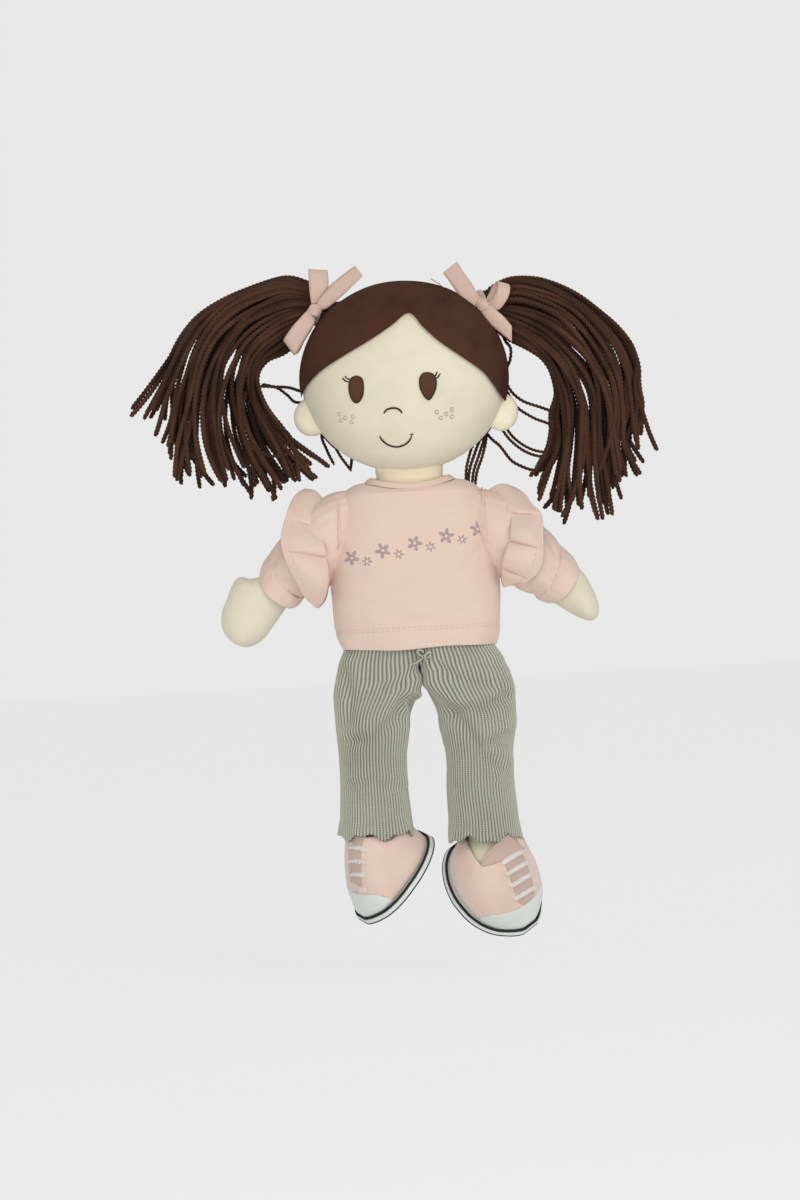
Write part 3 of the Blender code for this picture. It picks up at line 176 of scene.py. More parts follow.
def flower_effect():
    """Mask of one printed flower that faces the front, with a round hole in its middle."""
    group, given = effect("printed flower", ("Mask",), Centre=(0, 0, 0), Size=0.003, Petals=5.0, Turn=0.0)
    place = own_place(group)
    ends = {0: place, 1: given["Centre"]}
    shift = add(group, "ShaderNodeVectorMath", ends, operation="SUBTRACT").outputs[0]
    parts = add(group, "ShaderNodeSeparateXYZ", {0: shift}).outputs
    angle = reckon(group, "ARCTAN2", parts[2], parts[0])
    wave = reckon(group, "COSINE", reckon(group, "MULTIPLY_ADD", angle, given["Petals"], given["Turn"]))
    edge = reckon(group, "MULTIPLY", reckon(group, "MULTIPLY_ADD", wave, 0.38, 1.0), given["Size"])
    flat = add(group, "ShaderNodeCombineXYZ", {0: parts[0], 2: parts[2]}).outputs[0]
    reach = add(group, "ShaderNodeVectorMath", {0: flat}, operation="LENGTH").outputs["Value"]
    within = reckon(group, "MULTIPLY", reckon(group, "SUBTRACT", edge, reach), 3500.0)
    within.node.use_clamp = True
    hole = reckon(group, "GREATER_THAN", reach, 0.8 * MM)
    add(group, "NodeGroupOutput", {"Mask": reckon(group, "MULTIPLY", within, hole)})
    return group


PILE = pile_effect()
STITCH_ROWS = rows_effect("rows of stitches", 0.6)
RIBBON_ROWS = rows_effect("ribs of ribbon", 0.0)
RIB_ROWS = rows_effect("ribs of knit", 2.0)
FLOWER = flower_effect()


def fabric(name, dark, light, rough=0.9, sheen=0.3, group=PILE, values=None, bump=0.35, depth=0.2, grain=0.25,
           gloss=0.12, mottle=0.5):
    """Cloth: two tones mixed by its effect group, with a bump from the same group and fine fibre grain; with
    a group of rows, the darker tone is painted shade in the grooves.
    """
    material = bpy.data.materials.new(name)
    material.use_nodes = True
    tree = material.node_tree
    shader = tree.nodes["Principled BSDF"]
    for label, value in (("Roughness", rough), ("Sheen Weight", sheen), ("Sheen Roughness", 0.5),
                         ("Specular IOR Level", gloss)):
        shader.inputs[label].default_value = value
    look = add(tree, "ShaderNodeGroup", values, node_tree=group).outputs
    place = own_place(tree)
    speck = cloudy(tree, place, 1500.0, 3.0)
    drift = cloudy(tree, place, 35.0, 5.0)
    factor = reckon(tree, "MULTIPLY_ADD", speck, grain, look["Tone_and_painted_shade"])
    factor = reckon(tree, "MULTIPLY_ADD", drift, mottle, factor)
    factor = add(tree, "ShaderNodeMapRange", {"Value": factor, "From Min": 0.2 + mottle / 2,
                                              "From Max": 0.9 + mottle / 2}).outputs["Result"]
    tree.links.new(blended(tree, factor, tint(*dark), tint(*light)), shader.inputs["Base Color"])
    height = reckon(tree, "MULTIPLY_ADD", speck, grain, look["Height"])
    relief = add(tree, "ShaderNodeBump", {"Strength": bump, "Distance": depth * MM, "Height": height})
    tree.links.new(relief.outputs[0], shader.inputs["Normal"])
    return material


KNIT_ACROSS = 5.7
CREAM = fabric("cream plush", (218, 207, 181), (238, 230, 207), bump=0.5, depth=0.25, sheen=0.35)
# The ears' cream is lighter than the head's: the extra lightness is painted light for the light that they
# catch.
EAR_CREAM_PAINTED_LIGHT = fabric("ear plush", (244, 226, 192), (252, 242, 218), bump=0.6, depth=0.35, sheen=0.4)
NECK_CREAM = fabric("neck plush", (234, 214, 182), (246, 230, 202), bump=0.5, depth=0.25)
BROWN = fabric("brown plush", (20, 11, 8), (82, 53, 39), mottle=1.1, bump=0.8, depth=0.4, sheen=0.0,
               grain=0.4, values={"Patch": 45.0})
THREAD = fabric("brown thread", (58, 38, 26), (92, 62, 43), rough=0.6, sheen=0.05, bump=0.5)
DARK_THREAD = fabric("dark thread", (36, 27, 22), (62, 46, 38), rough=0.6, sheen=0.0, bump=0.5)
FRECKLE = fabric("grey thread", (172, 162, 142), (196, 186, 166), rough=0.8, sheen=0.1)
# The jersey's darker tone lies between its rows of stitches: painted shade.
JERSEY_CLOTH = {"dark": (220, 192, 176), "light": (238, 212, 197), "group": STITCH_ROWS, "bump": 0.12,
                "depth": 0.08, "grain": 0.7, "values": {"Across": 19.0, "Along": 23.0, "Slant": 0.6}}
JERSEY = fabric("pink jersey", **JERSEY_CLOTH)
STITCH = fabric("pink thread", (208, 172, 156), (224, 190, 174), rough=0.6, sheen=0.1)
# The knit is sage; its dark tone lies in the grooves between its ribs, as painted shade.
KNIT = fabric("sage rib knit", (112, 114, 98), (196, 197, 180), group=RIB_ROWS,
              values={"Across": KNIT_ACROSS, "Along": 9.0, "Slant": 0.7}, bump=0.35, depth=0.15, grain=0.5,
              sheen=0.15)
# The ribbon's darker tone lies between its ribs: painted shade.
RIBBON = fabric("blush ribbon", (206, 174, 156), (232, 203, 187), rough=0.5, sheen=0.2, gloss=0.4,
                group=RIBBON_ROWS, values={"Across": 0.0, "Along": 22.0}, bump=0.35, depth=0.1, grain=0.15)
SHOE = fabric("pink velour", (224, 194, 178), (242, 217, 202), bump=0.45, depth=0.2, sheen=0.4)
SHOE_SHADE = fabric("tongue velour", (192, 166, 152), (212, 188, 174), bump=0.45, depth=0.2, sheen=0.3)
WHITE = fabric("white velour", (216, 220, 217), (236, 239, 235), bump=0.4, depth=0.2, sheen=0.3)
LACE = fabric("lace thread", (214, 206, 200), (234, 228, 222), rough=0.8, bump=0.4)
DARK_LINE = fabric("dark cord", (20, 27, 28), (42, 49, 49), rough=0.7, sheen=0.0, bump=0.4)
ANKLE = fabric("ankle plush", (190, 182, 156), (210, 203, 178), bump=0.5, depth=0.25)


def yarn_material():
    """Plied yarn, each strand with its own tone."""
    material = fabric("brown yarn", (30, 18, 12), (88, 58, 42), rough=0.85, sheen=0.06, bump=0.5, grain=0.2)
    tree = material.node_tree
    strand = add(tree, "ShaderNodeAttribute", attribute_name="strand_tone").outputs["Fac"]
    factor = next(node for node in tree.nodes if node.type == "MIX").inputs[0]
    tree.links.new(reckon(tree, "MULTIPLY", factor.links[0].from_socket, strand), factor)
    return material


def print_material():
    """Jersey with a slanted row of small grey-mauve flowers over the chest."""
    material = fabric("printed pink jersey", **JERSEY_CLOTH)
    tree = material.node_tree
    chooser = random.Random(4)
    marks = None
    for number in range(9):
        even = number % 2 == 0
        values = {"Centre": seen(352 + number * 15.6, 562 - number * 3.6 + (-3.5 if even else 3.5)),
                  "Size": (3.3 if even else 2.2) * MM, "Petals": 5.0 if even else 6.0,
                  "Turn": chooser.uniform(0, 6)}
        flower = add(tree, "ShaderNodeGroup", values, node_tree=FLOWER).outputs["Mask"]
        marks = flower if marks is None else reckon(tree, "MAXIMUM", marks, flower)
    place = own_place(tree)
    front = reckon(tree, "LESS_THAN", add(tree, "ShaderNodeSeparateXYZ", {0: place}).outputs[1], 0.0)
    wear = {"Value": cloudy(tree, place, 900.0), "From Min": 0.3, "From Max": 0.5,
            "To Min": 0.35, "To Max": 0.75}
    worn = add(tree, "ShaderNodeMapRange", wear).outputs["Result"]
    marks = reckon(tree, "MULTIPLY", reckon(tree, "MULTIPLY", marks, front), worn)
    base = tree.nodes["Principled BSDF"].inputs["Base Color"]
    tree.links.new(blended(tree, marks, base.links[0].from_socket, tint(150, 132, 138)), base)
    return material


YARN = yarn_material()
SHIRT = print_material()

# Mesh helpers


def settle(bm, name, material, body=None, stands_for=(), smooth=True, recalc=True):
    """Finished piece, its faces out, with its finish, its CAD body and the nodes that it stands for."""
    if recalc:
        bmesh.ops.recalc_face_normals(bm, faces=bm.faces)
    mesh = bpy.data.meshes.new(name)
    bm.to_mesh(mesh)
    bm.free()
    if smooth:
        mesh.shade_smooth()
    piece = bpy.data.objects.new(name, mesh)
    bpy.context.collection.objects.link(piece)
    if material:
        mesh.materials.append(material)
    return dress(piece, body, stands_for)


def dress(piece, body=None, stands_for=()):
    if body:
        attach(piece, body)
    if stands_for:
        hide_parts(*stands_for)
    return piece


def apply_modifiers(piece):
    evaluated = piece.evaluated_get(bpy.context.evaluated_depsgraph_get())
    mesh = bpy.data.meshes.new_from_object(evaluated)
    piece.modifiers.clear()
    old = piece.data
    piece.data = mesh
    bpy.data.meshes.remove(old)


def thicken(piece, wall, offset=-1):
    """Give cloth its wall, in millimetres, inwards where nothing else is said."""
    layer = piece.modifiers.new("wall", "SOLIDIFY")
    layer.thickness, layer.offset = wall * MM, offset
    apply_modifiers(piece)


def carve(piece, *cutters):
    for cutter in cutters:
        cut = piece.modifiers.new("cut", "BOOLEAN")
        cut.operation, cut.solver, cut.object = "DIFFERENCE", "EXACT", cutter
    apply_modifiers(piece)
    for cutter in cutters:
        bpy.data.objects.remove(cutter)


def sight_block(name, marks, near, far):
    """Block whose outline follows marks of the front view, drawn out along the lines of sight."""
    bm = bmesh.new()
    front = bm.faces.new([bm.verts.new(seen(u, v, near)) for u, v in marks])
    pushed = bmesh.ops.extrude_face_region(bm, geom=[front])
    growth = (EYE_DISTANCE + far * MM) / (EYE_DISTANCE + near * MM)
    bmesh.ops.scale(bm, vec=(growth, growth, growth), space=Matrix.Translation(-EYE_POINT),
                    verts=[item for item in pushed["geom"] if isinstance(item, bmesh.types.BMVert)])
    return settle(bm, name, None, smooth=False)


def trim(bm, place, normal):
    """Cut away what lies past a plane."""
    bmesh.ops.bisect_plane(bm, geom=bm.verts[:] + bm.edges[:] + bm.faces[:], plane_co=place, plane_no=normal,
                           clear_outer=True)


def wrap(rings, closed=True, capped=True):
    """Grid laid round rings of points, its own map counted in centimetres, welded where it meets itself."""
    bm = bmesh.new()
    layer = bm.loops.layers.uv.new("UVMap")
    sides = len(rings[0]) - (0 if closed else 1)
    bmesh.ops.create_grid(bm, x_segments=sides, y_segments=len(rings) - 1, size=1, calc_uvs=True)
    for index, vert in enumerate(bm.verts):
        row, column = divmod(index, sides + 1)
        vert.co = rings[row][column % len(rings[0])]
    middle = rings[len(rings) // 2]
    girth = sum((middle[i] - middle[i - 1]).length for i in range(0 if closed else 1, len(middle)))
    half = len(rings[0]) // 2
    length = sum((rings[i][half] - rings[i - 1][half]).length for i in range(1, len(rings)))
    for face in bm.faces:
        for loop in face.loops:
            loop[layer].uv = (loop[layer].uv.x * girth / (10 * MM), loop[layer].uv.y * length / (10 * MM))
    bmesh.ops.remove_doubles(bm, verts=bm.verts, dist=0.002 * MM)
    if closed and capped:
        rims = [edge for edge in bm.edges if edge.is_boundary]
        if rims:
            bmesh.ops.holes_fill(bm, edges=rims, sides=0)
    return bm


def curve(a, b, c, d, t):
    """Catmull-Rom curve between b and c."""
    return (b + (c - a) * (t / 2) + (a * 2 - b * 5 + c * 4 - d) * (t * t / 2)
            + (b * 3 - a - c * 3 + d) * (t ** 3 / 2))


def distances(points):
    """Distance along a path at each of its points."""
    found = [0.0]
    for first, second in zip(points, points[1:]):
        found.append(found[-1] + (second - first).length)
    return found


def smooth_path(points, steps):
    """Points at even steps along a curve through a path's own points."""
    padded = [points[0] * 2 - points[1]] + list(points) + [points[-1] * 2 - points[-2]]
    fine = [curve(*padded[span:span + 4], part / 8) for span in range(len(points) - 1) for part in range(8)]
    fine.append(points[-1].copy())
    reach = distances(fine)
    path, index = [], 0
    for step in range(steps + 1):
        goal = reach[-1] * step / steps
        while index < len(fine) - 2 and reach[index + 1] < goal:
            index += 1
        gap = max(reach[index + 1] - reach[index], 1e-9)
        path.append(fine[index].lerp(fine[index + 1], min(1, (goal - reach[index]) / gap)))
    return path


def spread(table, steps):
    """Rows of numbers read smoothly between a table's own rows."""
    rows = []
    for step in range(steps + 1):
        place = step * (len(table) - 1) / steps
        index = min(int(place), len(table) - 2)
        before, after = table[max(index - 1, 0)], table[min(index + 2, len(table) - 1)]
        columns = zip(before, table[index], table[index + 1], after)
        rows.append([curve(*numbers, place - index) for numbers in columns])
    return rows


def circle(count):
    """Angles at even steps round a circle."""
    return [math.tau * step / count for step in range(count)]


def ring(centre, half_width, half_depth, sides, across=X_AXIS, deep=Y_AXIS, fullness=2.0):
    points = []
    for angle in circle(sides):
        parts = (math.cos(angle), math.sin(angle))
        wide, far = (math.copysign(abs(part) ** (2 / fullness), part) for part in parts)
        points.append(centre + across * (half_width * wide) + deep * (half_depth * far))
    return points


def wander(point, scale, amount):
    """Small uneven push, the same wherever it is asked for the same point."""
    return noise.noise_vector(point * scale) * amount


def uneven(rings, scale, amount):
    """Rings with the small bumps of soft filling, as deep as an amount in millimetres."""
    return [[point + wander(point, scale, amount * MM) for point in points] for points in rings]


def swell(distance, width):
    """Bell shape: one in the middle, falling to nothing on both sides."""
    return math.exp(-(distance / width) ** 2)


def cord_rings(path, radius, sides=8, flat=1.0):
    """Rings along a path, round or flattened, drawn in at both ends."""
    rings = []
    normal = Y_AXIS
    for index, point in enumerate(path):
        ahead = (path[min(index + 1, len(path) - 1)] - path[max(index - 1, 0)]).normalized()
        normal = (normal - ahead * normal.dot(ahead)).normalized()
        share = index / (len(path) - 1)
        size = radius * min(1, math.sqrt(max(0.02, 1 - (2 * share - 1) ** 8)))
        rings.append(ring(point, size, size * flat, sides, ahead.cross(normal), normal))
    return rings


def loop_tube(path, radius, sides, up=None):
    """Tube round a closed path."""
    rings = []
    for index in range(len(path) + 1):
        ahead = (path[(index + 1) % len(path)] - path[(index - 1) % len(path)]).normalized()
        side = ahead.cross(up or (Z_AXIS if abs(ahead.z) < 0.9 else X_AXIS)).normalized()
        rings.append(ring(path[index % len(path)], radius, radius, sides, side, ahead.cross(side)))
    return wrap(rings)


# Half the thickness of a stitch
STITCH_RADIUS = 0.16 * MM


def dashes(points, dash, gap, closed=True):
    """Row of stitches along a line: short closed lozenges laid end to end."""
    path = points + (points[:1] if closed else [])
    reach = distances(path)

    def at(goal):
        index = max(i for i in range(len(path) - 1) if reach[i] <= goal + 1e-9)
        share = (goal - reach[index]) / max(1e-9, reach[index + 1] - reach[index])
        return path[index].lerp(path[index + 1], min(1, share))

    parts = []
    for number in range(int(reach[-1] / ((dash + gap) * MM))):
        start = number * (dash + gap) * MM
        first, second = at(start), at(start + dash * MM)
        line = (second - first).normalized()
        side = line.cross(Y_AXIS if abs(line.y) < 0.8 else X_AXIS).normalized()
        rows = []
        for share, size in ((0, 0.3), (0.2, 1), (0.8, 1), (1, 0.3)):
            thick = STITCH_RADIUS * size
            rows.append(ring(first.lerp(second, share), thick, thick * 1.2, 6, side, line.cross(side)))
        parts.append(wrap(rows))
    return join(parts)


def join(bms):
    """One mesh of several."""
    whole = bmesh.new()
    for bm in bms:
        part = bpy.data.meshes.new("part")
        bm.to_mesh(part)
        bm.free()
        whole.from_mesh(part)
        bpy.data.meshes.remove(part)
    return whole


# Head

HEAD_CENTRE = mm(0, -4, 144.1)
HEAD_HALF = mm(56.0, 39.0, 51.5)
HAIRLINE = ((285, 445), (296, 418), (302.5, 394), (308, 384), (322, 370), (345, 355), (370, 340), (392, 325),
            (409, 312.5), (423, 327), (440, 342), (462, 357), (482, 371), (493, 384), (500.5, 395),
            (513, 410), (545, 445))


def head_form(grow, sides=96, rows=64):
    """Stuffed ball of the head, grown outwards by millimetres."""
    half = HEAD_HALF + mm(grow, grow, grow)
    rings = []
    for row in range(rows + 1):
        latitude = math.radians(89.5) * (2 * row / rows - 1)
        lift, around = math.sin(latitude), math.cos(latitude)
        deep = (1 - abs(lift) ** 2.4) ** (1 / 2.4)
        centre = HEAD_CENTRE + Z_AXIS * (half.z * lift)
        rings.append(ring(centre, half.x * around, half.y * deep, sides))
    return wrap(uneven(rings, 45, 0.35))


def face_depth(x, z, grow):
    """Depth of the face's surface behind a place of the front view."""
    lift = max(-1, min(1, (z - HEAD_CENTRE.z) / (HEAD_HALF.z + grow)))
    wide = (x - HEAD_CENTRE.x) / ((HEAD_HALF.x + grow) * max(0.02, math.sqrt(1 - lift * lift)))
    wide = max(-0.999, min(0.999, wide))
    deep = (1 - abs(lift) ** 2.4) ** (1 / 2.4)
    return HEAD_CENTRE.y - (HEAD_HALF.y + grow) * deep * math.sqrt(1 - wide * wide)


def on_face(u, v, lift=0.0):
    """Point of the face behind a mark of the front view."""
    base = on_plane(u, v)
    point = base
    for _ in range(4):
        point = at_depth(base, face_depth(point.x, point.z, lift * MM))
    return point


def build_head():
    skin = settle(head_form(0.0), "head_plush", CREAM, "head", ("head_skin", "head_stuffing"))
    cap = settle(head_form(1.6), "hair_cap_plush", BROWN, "head", ("hair_cap",))
    inner = settle(head_form(0.25, 72, 48), "hair_cap_inner_cut", None)
    hairline = [(point.x, point.z) for point in smooth_path([Vector((u, 0, v)) for u, v in HAIRLINE], 90)]
    face_cut = sight_block("face_cut", hairline + [(545, 520), (285, 520)], -70, 4)
    nape = bmesh.new()
    block = Matrix.Translation(mm(0, 30, 86)) @ Matrix.Diagonal((0.14, 0.06, 0.044, 1))
    bmesh.ops.create_cube(nape, size=1, matrix=block)
    carve(cap, inner, face_cut, settle(nape, "nape_cut", None, smooth=False))
    cap.data.shade_smooth()
    cap.data.set_sharp_from_angle(angle=math.radians(60))


def build_ears():
    """Ears: each a lens of two plush discs, sewn round their edge."""
    for side, sign in SIDES.items():
        low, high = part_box(f"ear_{side}")
        height = (low.z + high.z) / 2
        rings = []
        for row in range(25):
            latitude = math.radians(88) * (row / 12 - 1)
            reach = math.cos(latitude) ** 0.8 * MM
            centre = Vector((sign * 51.8 * MM, -3.2 * MM + 5.2 * MM * math.sin(latitude), height))
            rings.append(ring(centre, 9.8 * reach, 10.6 * reach, 40, X_AXIS, Z_AXIS))
        ear = wrap(uneven(rings, 160, 0.4))
        # Lighter cream than the head: painted light on the ears.
        settle(ear, f"ear_{side}_plush", EAR_CREAM_PAINTED_LIGHT, "head", (f"ear_{side}",))


# Marks of the face in the front view
EYES = {
    "right": ((356.5, 376.5), (361.5, 379.5), (362.8, 387), (362, 395), (359, 400.5), (355.5, 401.8),
              (352, 398.5), (349.7, 391.5), (349.5, 385), (351.5, 379)),
    "left": ((427, 373), (432.5, 375), (435.5, 381), (434.8, 389), (431.5, 396), (428.5, 398.6),
             (424.5, 395), (421, 388), (420.3, 380.5), (422.5, 375)),
}
LASHES = {
    "right": (((350.5, 382.5), (345.5, 381), (342, 377.5)), ((352, 379.5), (348, 379), (344.5, 376))),
    "left": (((433.5, 379.5), (437.5, 377.5), (440.5, 373.5)),
             ((431.5, 377), (435.5, 375.5), (437.3, 371.5))),
}
NOSE_LINE = ((383.5, 413.5), (386.5, 410), (391, 408.2), (396, 408.2), (400, 410.3), (402.3, 413.5))
MOUTH_LINE = ((379.5, 435.5), (381.5, 439.5), (386.5, 444), (393, 446.6), (398.5, 446.8), (405, 444.5),
              (409.5, 440.5), (412, 435.5))
MOUTH_TICK = ((410, 434.8), (413.5, 434.2))
FRECKLES = {
    "right": ((339, 414.3), (341, 420.5), (345.3, 418), (353, 416.3), (351.8, 421.7)),
    "left": ((436.8, 412.2), (441, 418), (446.3, 414), (452.2, 409.5), (452.2, 416.8)),
}


def stitched_line(marks, width, lift=0.35, steps=30):
    """Line of satin stitches over the face."""
    path = smooth_path([on_face(u, v, lift) for u, v in marks], steps)
    return wrap(cord_rings(path, width / 2 * MM, 8, 0.7))


# Rows of a satin pad from its outline to its middle: share of the outline, and height in millimetres
SATIN_ROWS = ((1.0, -0.3), (1.02, 0.25), (0.97, 0.6), (0.8, 0.75), (0.55, 0.75), (0.3, 0.75), (0.05, 0.75))


def satin_pad(marks):
    """Raised pad of satin stitches inside an outline on the face."""
    count = 60
    path = smooth_path([Vector((u, 0, v)) for u, v in marks + marks[:1]], count)[:-1]
    centre = sum(path, Vector()) / count
    rings = []
    for share, rise in SATIN_ROWS:
        points = []
        for index, point in enumerate(path):
            ragged = 0.35 * math.sin(index * 2.4) if share > 0.9 else 0
            place = centre + (point - centre) * share + (point - centre).normalized() * ragged
            points.append(on_face(place.x, place.z, rise))
        rings.append(points)
    return wrap(rings)


def build_face():
    for side, eye in EYES.items():
        u, v = (sum(mark[axis] for mark in eye) / len(eye) for axis in (0, 1))
        eye = tuple((u + (mark[0] - u) * 1.07, v + (mark[1] - v) * 1.07) for mark in eye)
        settle(satin_pad(eye), f"eye_{side}_stitching", THREAD, "head", (f"eye_{side}",))
        edge = [stitched_line(eye + eye[:1], 0.85, 0.45, 70)]
        edge += [stitched_line(lash, 0.75, 0.3, 12) for lash in LASHES[side]]
        settle(join(edge), f"eye_{side}_edge", DARK_THREAD, "head")
        turns = [math.radians(345) * step / 9 for step in range(10)]
        rings = [stitched_line([(u + 1.7 * math.cos(turn), v + 1.8 * math.sin(turn)) for turn in turns],
                               0.55, 0.1, 18) for u, v in FRECKLES[side]]
        settle(join(rings), f"freckles_{side}", FRECKLE, "head")
    settle(stitched_line(NOSE_LINE, 1.0), "nose_stitching", DARK_THREAD, "head", ("nose",))
    mouth = [stitched_line(MOUTH_LINE, 0.95), stitched_line(MOUTH_TICK, 0.8, 0.35, 6)]
    settle(join(mouth), "mouth_stitching", DARK_THREAD, "head", ("mouth",))


# Yarn

YARN_RADIUS = 1.42 * MM
PLY_PITCH = 6.5 * MM
YARN_SIDES = 9
CUT_END = 1.2 * MM


def yarn(name, routes, body, stands_for=(), seed=1, thickness=1.0):
    """Strands of three-ply yarn: a lobed section swept along every route and turned as it goes."""
    chooser = random.Random(seed)
    profile = bpy.data.curves.new(f"{name}_section", "CURVE")
    profile.dimensions = "2D"
    spline = profile.splines.new("POLY")
    spline.points.add(YARN_SIDES - 1)
    for angle, point in zip(circle(YARN_SIDES), spline.points):
        reach = YARN_RADIUS * (0.9 + 0.2 * math.cos(3 * angle))
        point.co = (reach * math.cos(angle), reach * math.sin(angle), 0, 1)
    spline.use_cyclic_u = True
    section = bpy.data.objects.new(f"{name}_section", profile)
    strands = bpy.data.curves.new(name, "CURVE")
    strands.dimensions = "3D"
    strands.twist_mode = "MINIMUM"
    strands.bevel_mode = "OBJECT"
    strands.bevel_object = section
    strands.use_fill_caps = True
    tones = []
    for route in routes:
        length = distances(route)[-1]
        steps = max(6, int(length / PLY_PITCH * 6))
        path = smooth_path(route, steps)
        spline = strands.splines.new("POLY")
        spline.points.add(len(path) - 1)
        spin = chooser.uniform(0, math.tau)
        size = thickness * chooser.uniform(0.92, 1.06)
        for index, (point, place) in enumerate(zip(spline.points, path)):
            point.co = (*place, 1)
            point.tilt = spin + math.tau * index / 6
            from_end = (len(path) - 1 - index) * length / steps
            point.radius = size * (1.0 if from_end > CUT_END else 0.55 + 0.4 * from_end / CUT_END)
        tones += [chooser.uniform(0.55, 1.1)] * (len(path) * YARN_SIDES)
    holder = bpy.data.objects.new(name, strands)
    bpy.context.collection.objects.link(section)
    bpy.context.collection.objects.link(holder)
    mesh = bpy.data.meshes.new_from_object(holder.evaluated_get(bpy.context.evaluated_depsgraph_get()))
    bpy.data.objects.remove(holder)
    bpy.data.objects.remove(section)
    mesh.materials.clear()
    tones += [1.0] * (len(mesh.vertices) - len(tones))
    mesh.attributes.new("strand_tone", "FLOAT", "POINT").data.foreach_set("value", tones[:len(mesh.vertices)])
    mesh.name = name
    mesh.materials.append(YARN)
    mesh.shade_smooth()
    piece = bpy.data.objects.new(name, mesh)
    bpy.context.collection.objects.link(piece)
    return dress(piece, body, stands_for)


# Where each bunch is tied, and guides along it in the front view, from its upper outline to its inner one
TIES = {"right": (317, 311), "left": (487, 305)}
GUIDES = {
    "right": (((312, 286), (300, 279.5), (283, 277.5), (253, 287), (228, 298), (203, 315), (186, 337),
               (171, 368), (159, 394), (147.5, 417.5)),
              ((311, 289), (298, 284), (281, 281.5), (250, 291), (222, 307), (198, 333), (183, 366),
               (172, 400), (167, 425), (160, 447)),
              ((310, 293), (297, 289), (279, 288), (247, 300), (219, 319), (200, 345), (189, 380),
               (182, 418), (180, 452), (188, 492)),
              ((310, 298), (296, 295), (277, 297), (247, 311), (222, 334), (207, 365), (200, 400),
               (199, 435), (202, 465), (206, 483)),
              ((309, 304), (296, 303), (276, 308), (248, 324), (228, 350), (217, 382), (215, 415),
               (220, 445), (228, 468), (233, 481)),
              ((309, 311), (296, 312), (275, 320), (250, 340), (236, 366), (230, 395), (233, 425),
               (243, 455), (255, 480), (263, 503)),
              ((309, 318), (297, 322), (277, 333), (256, 352), (246, 376), (246, 402), (254, 430),
               (266, 458), (278, 482), (286, 505)),
              ((309, 324), (299, 332), (281, 344), (262, 358), (252, 378), (255, 404), (268, 430),
               (284, 455), (299, 475), (309, 491)),
              ((309, 330), (301, 341), (285, 355), (266, 361), (255, 376), (262, 404), (280, 428),
               (300, 450), (318, 466), (326, 469))),
    "left": (((486, 297), (484, 293), (506.6, 278.7), (531.2, 276.9), (552.2, 283), (576.8, 296.2),
              (597.8, 312.9), (617.1, 330.4), (631.2, 349.7), (635.5, 369), (634.7, 384.8), (641.7, 404),
              (638.2, 442.7)),
             ((488, 299), (490, 295), (510.2, 283), (538.2, 284.8), (562.8, 295.3), (585.6, 309.4),
              (603.1, 325.2), (618.9, 342.7), (629.4, 367.2), (631.2, 388.3), (632, 412.8), (631.2, 431),
              (631.2, 449.7)),
             ((490, 301), (495, 299), (515.4, 290), (545.2, 297), (573.3, 309.4), (594.3, 328.7),
              (611.9, 353.2), (622.4, 381.3), (624.1, 412.8), (622, 430), (620.6, 439.1), (627.7, 456.7),
              (634.7, 470.7)),
             ((492, 304), (500, 303), (522.4, 302.4), (552.2, 311.1), (576.8, 328.7), (594.3, 353.2),
              (608.4, 377.8), (615.4, 407.6), (617.1, 433.9), (618, 450), (618.9, 465.5), (620, 476),
              (622.4, 486.5)),
             ((492, 307), (502, 309), (524.2, 314.6), (548.7, 325.2), (569.8, 342.7), (589.1, 363.7),
              (597.8, 388.3), (601.3, 412.8), (603.1, 439.1), (604, 455), (606.6, 470.7), (610, 490),
              (613.6, 509.3)),
             ((492, 311), (502, 316), (524.2, 323.4), (545.2, 335.7), (564.5, 353.2), (580.3, 376),
              (589.1, 400.6), (590.8, 423.4), (592.6, 447.9), (595, 465), (597.8, 483), (602, 503),
              (607.5, 523.3)),
             ((492, 315), (503, 322), (524.2, 330.4), (543.5, 344.4), (559.3, 362), (571.5, 384.8),
              (578.5, 407.6), (580.3, 430.4), (580.3, 456.7), (580, 470), (580.3, 483), (582, 500),
              (583.8, 518.1)),
             ((492, 319), (504, 328), (524.2, 338.3), (540, 351.5), (552.2, 367.2), (562.8, 388.3),
              (568, 412.8), (568, 435.6), (566.3, 462), (566, 474), (566.3, 486.5), (566, 500),
              (566.3, 514.6)),
             ((493, 323), (505, 334), (527.7, 346.2), (541.7, 355.8), (552.2, 369), (557.5, 390),
              (559.3, 412.8), (561, 439.1), (561, 462), (559, 474), (555.8, 488.3), (551, 500),
              (546.1, 511.1)),
             ((494, 326), (506, 338), (527.7, 348), (543.5, 358.5), (554, 374.3), (558.4, 393.5),
              (554, 412.8), (555.8, 430.4), (554, 447.9), (550, 457), (545.2, 465.5), (538, 477),
              (531.2, 488.3))),
}
GUIDE_STEPS = 26
# Height in millimetres below which strands near the body end, so that they clear the ruffles
ABOVE_RUFFLES = {"right": 90, "left": 86}


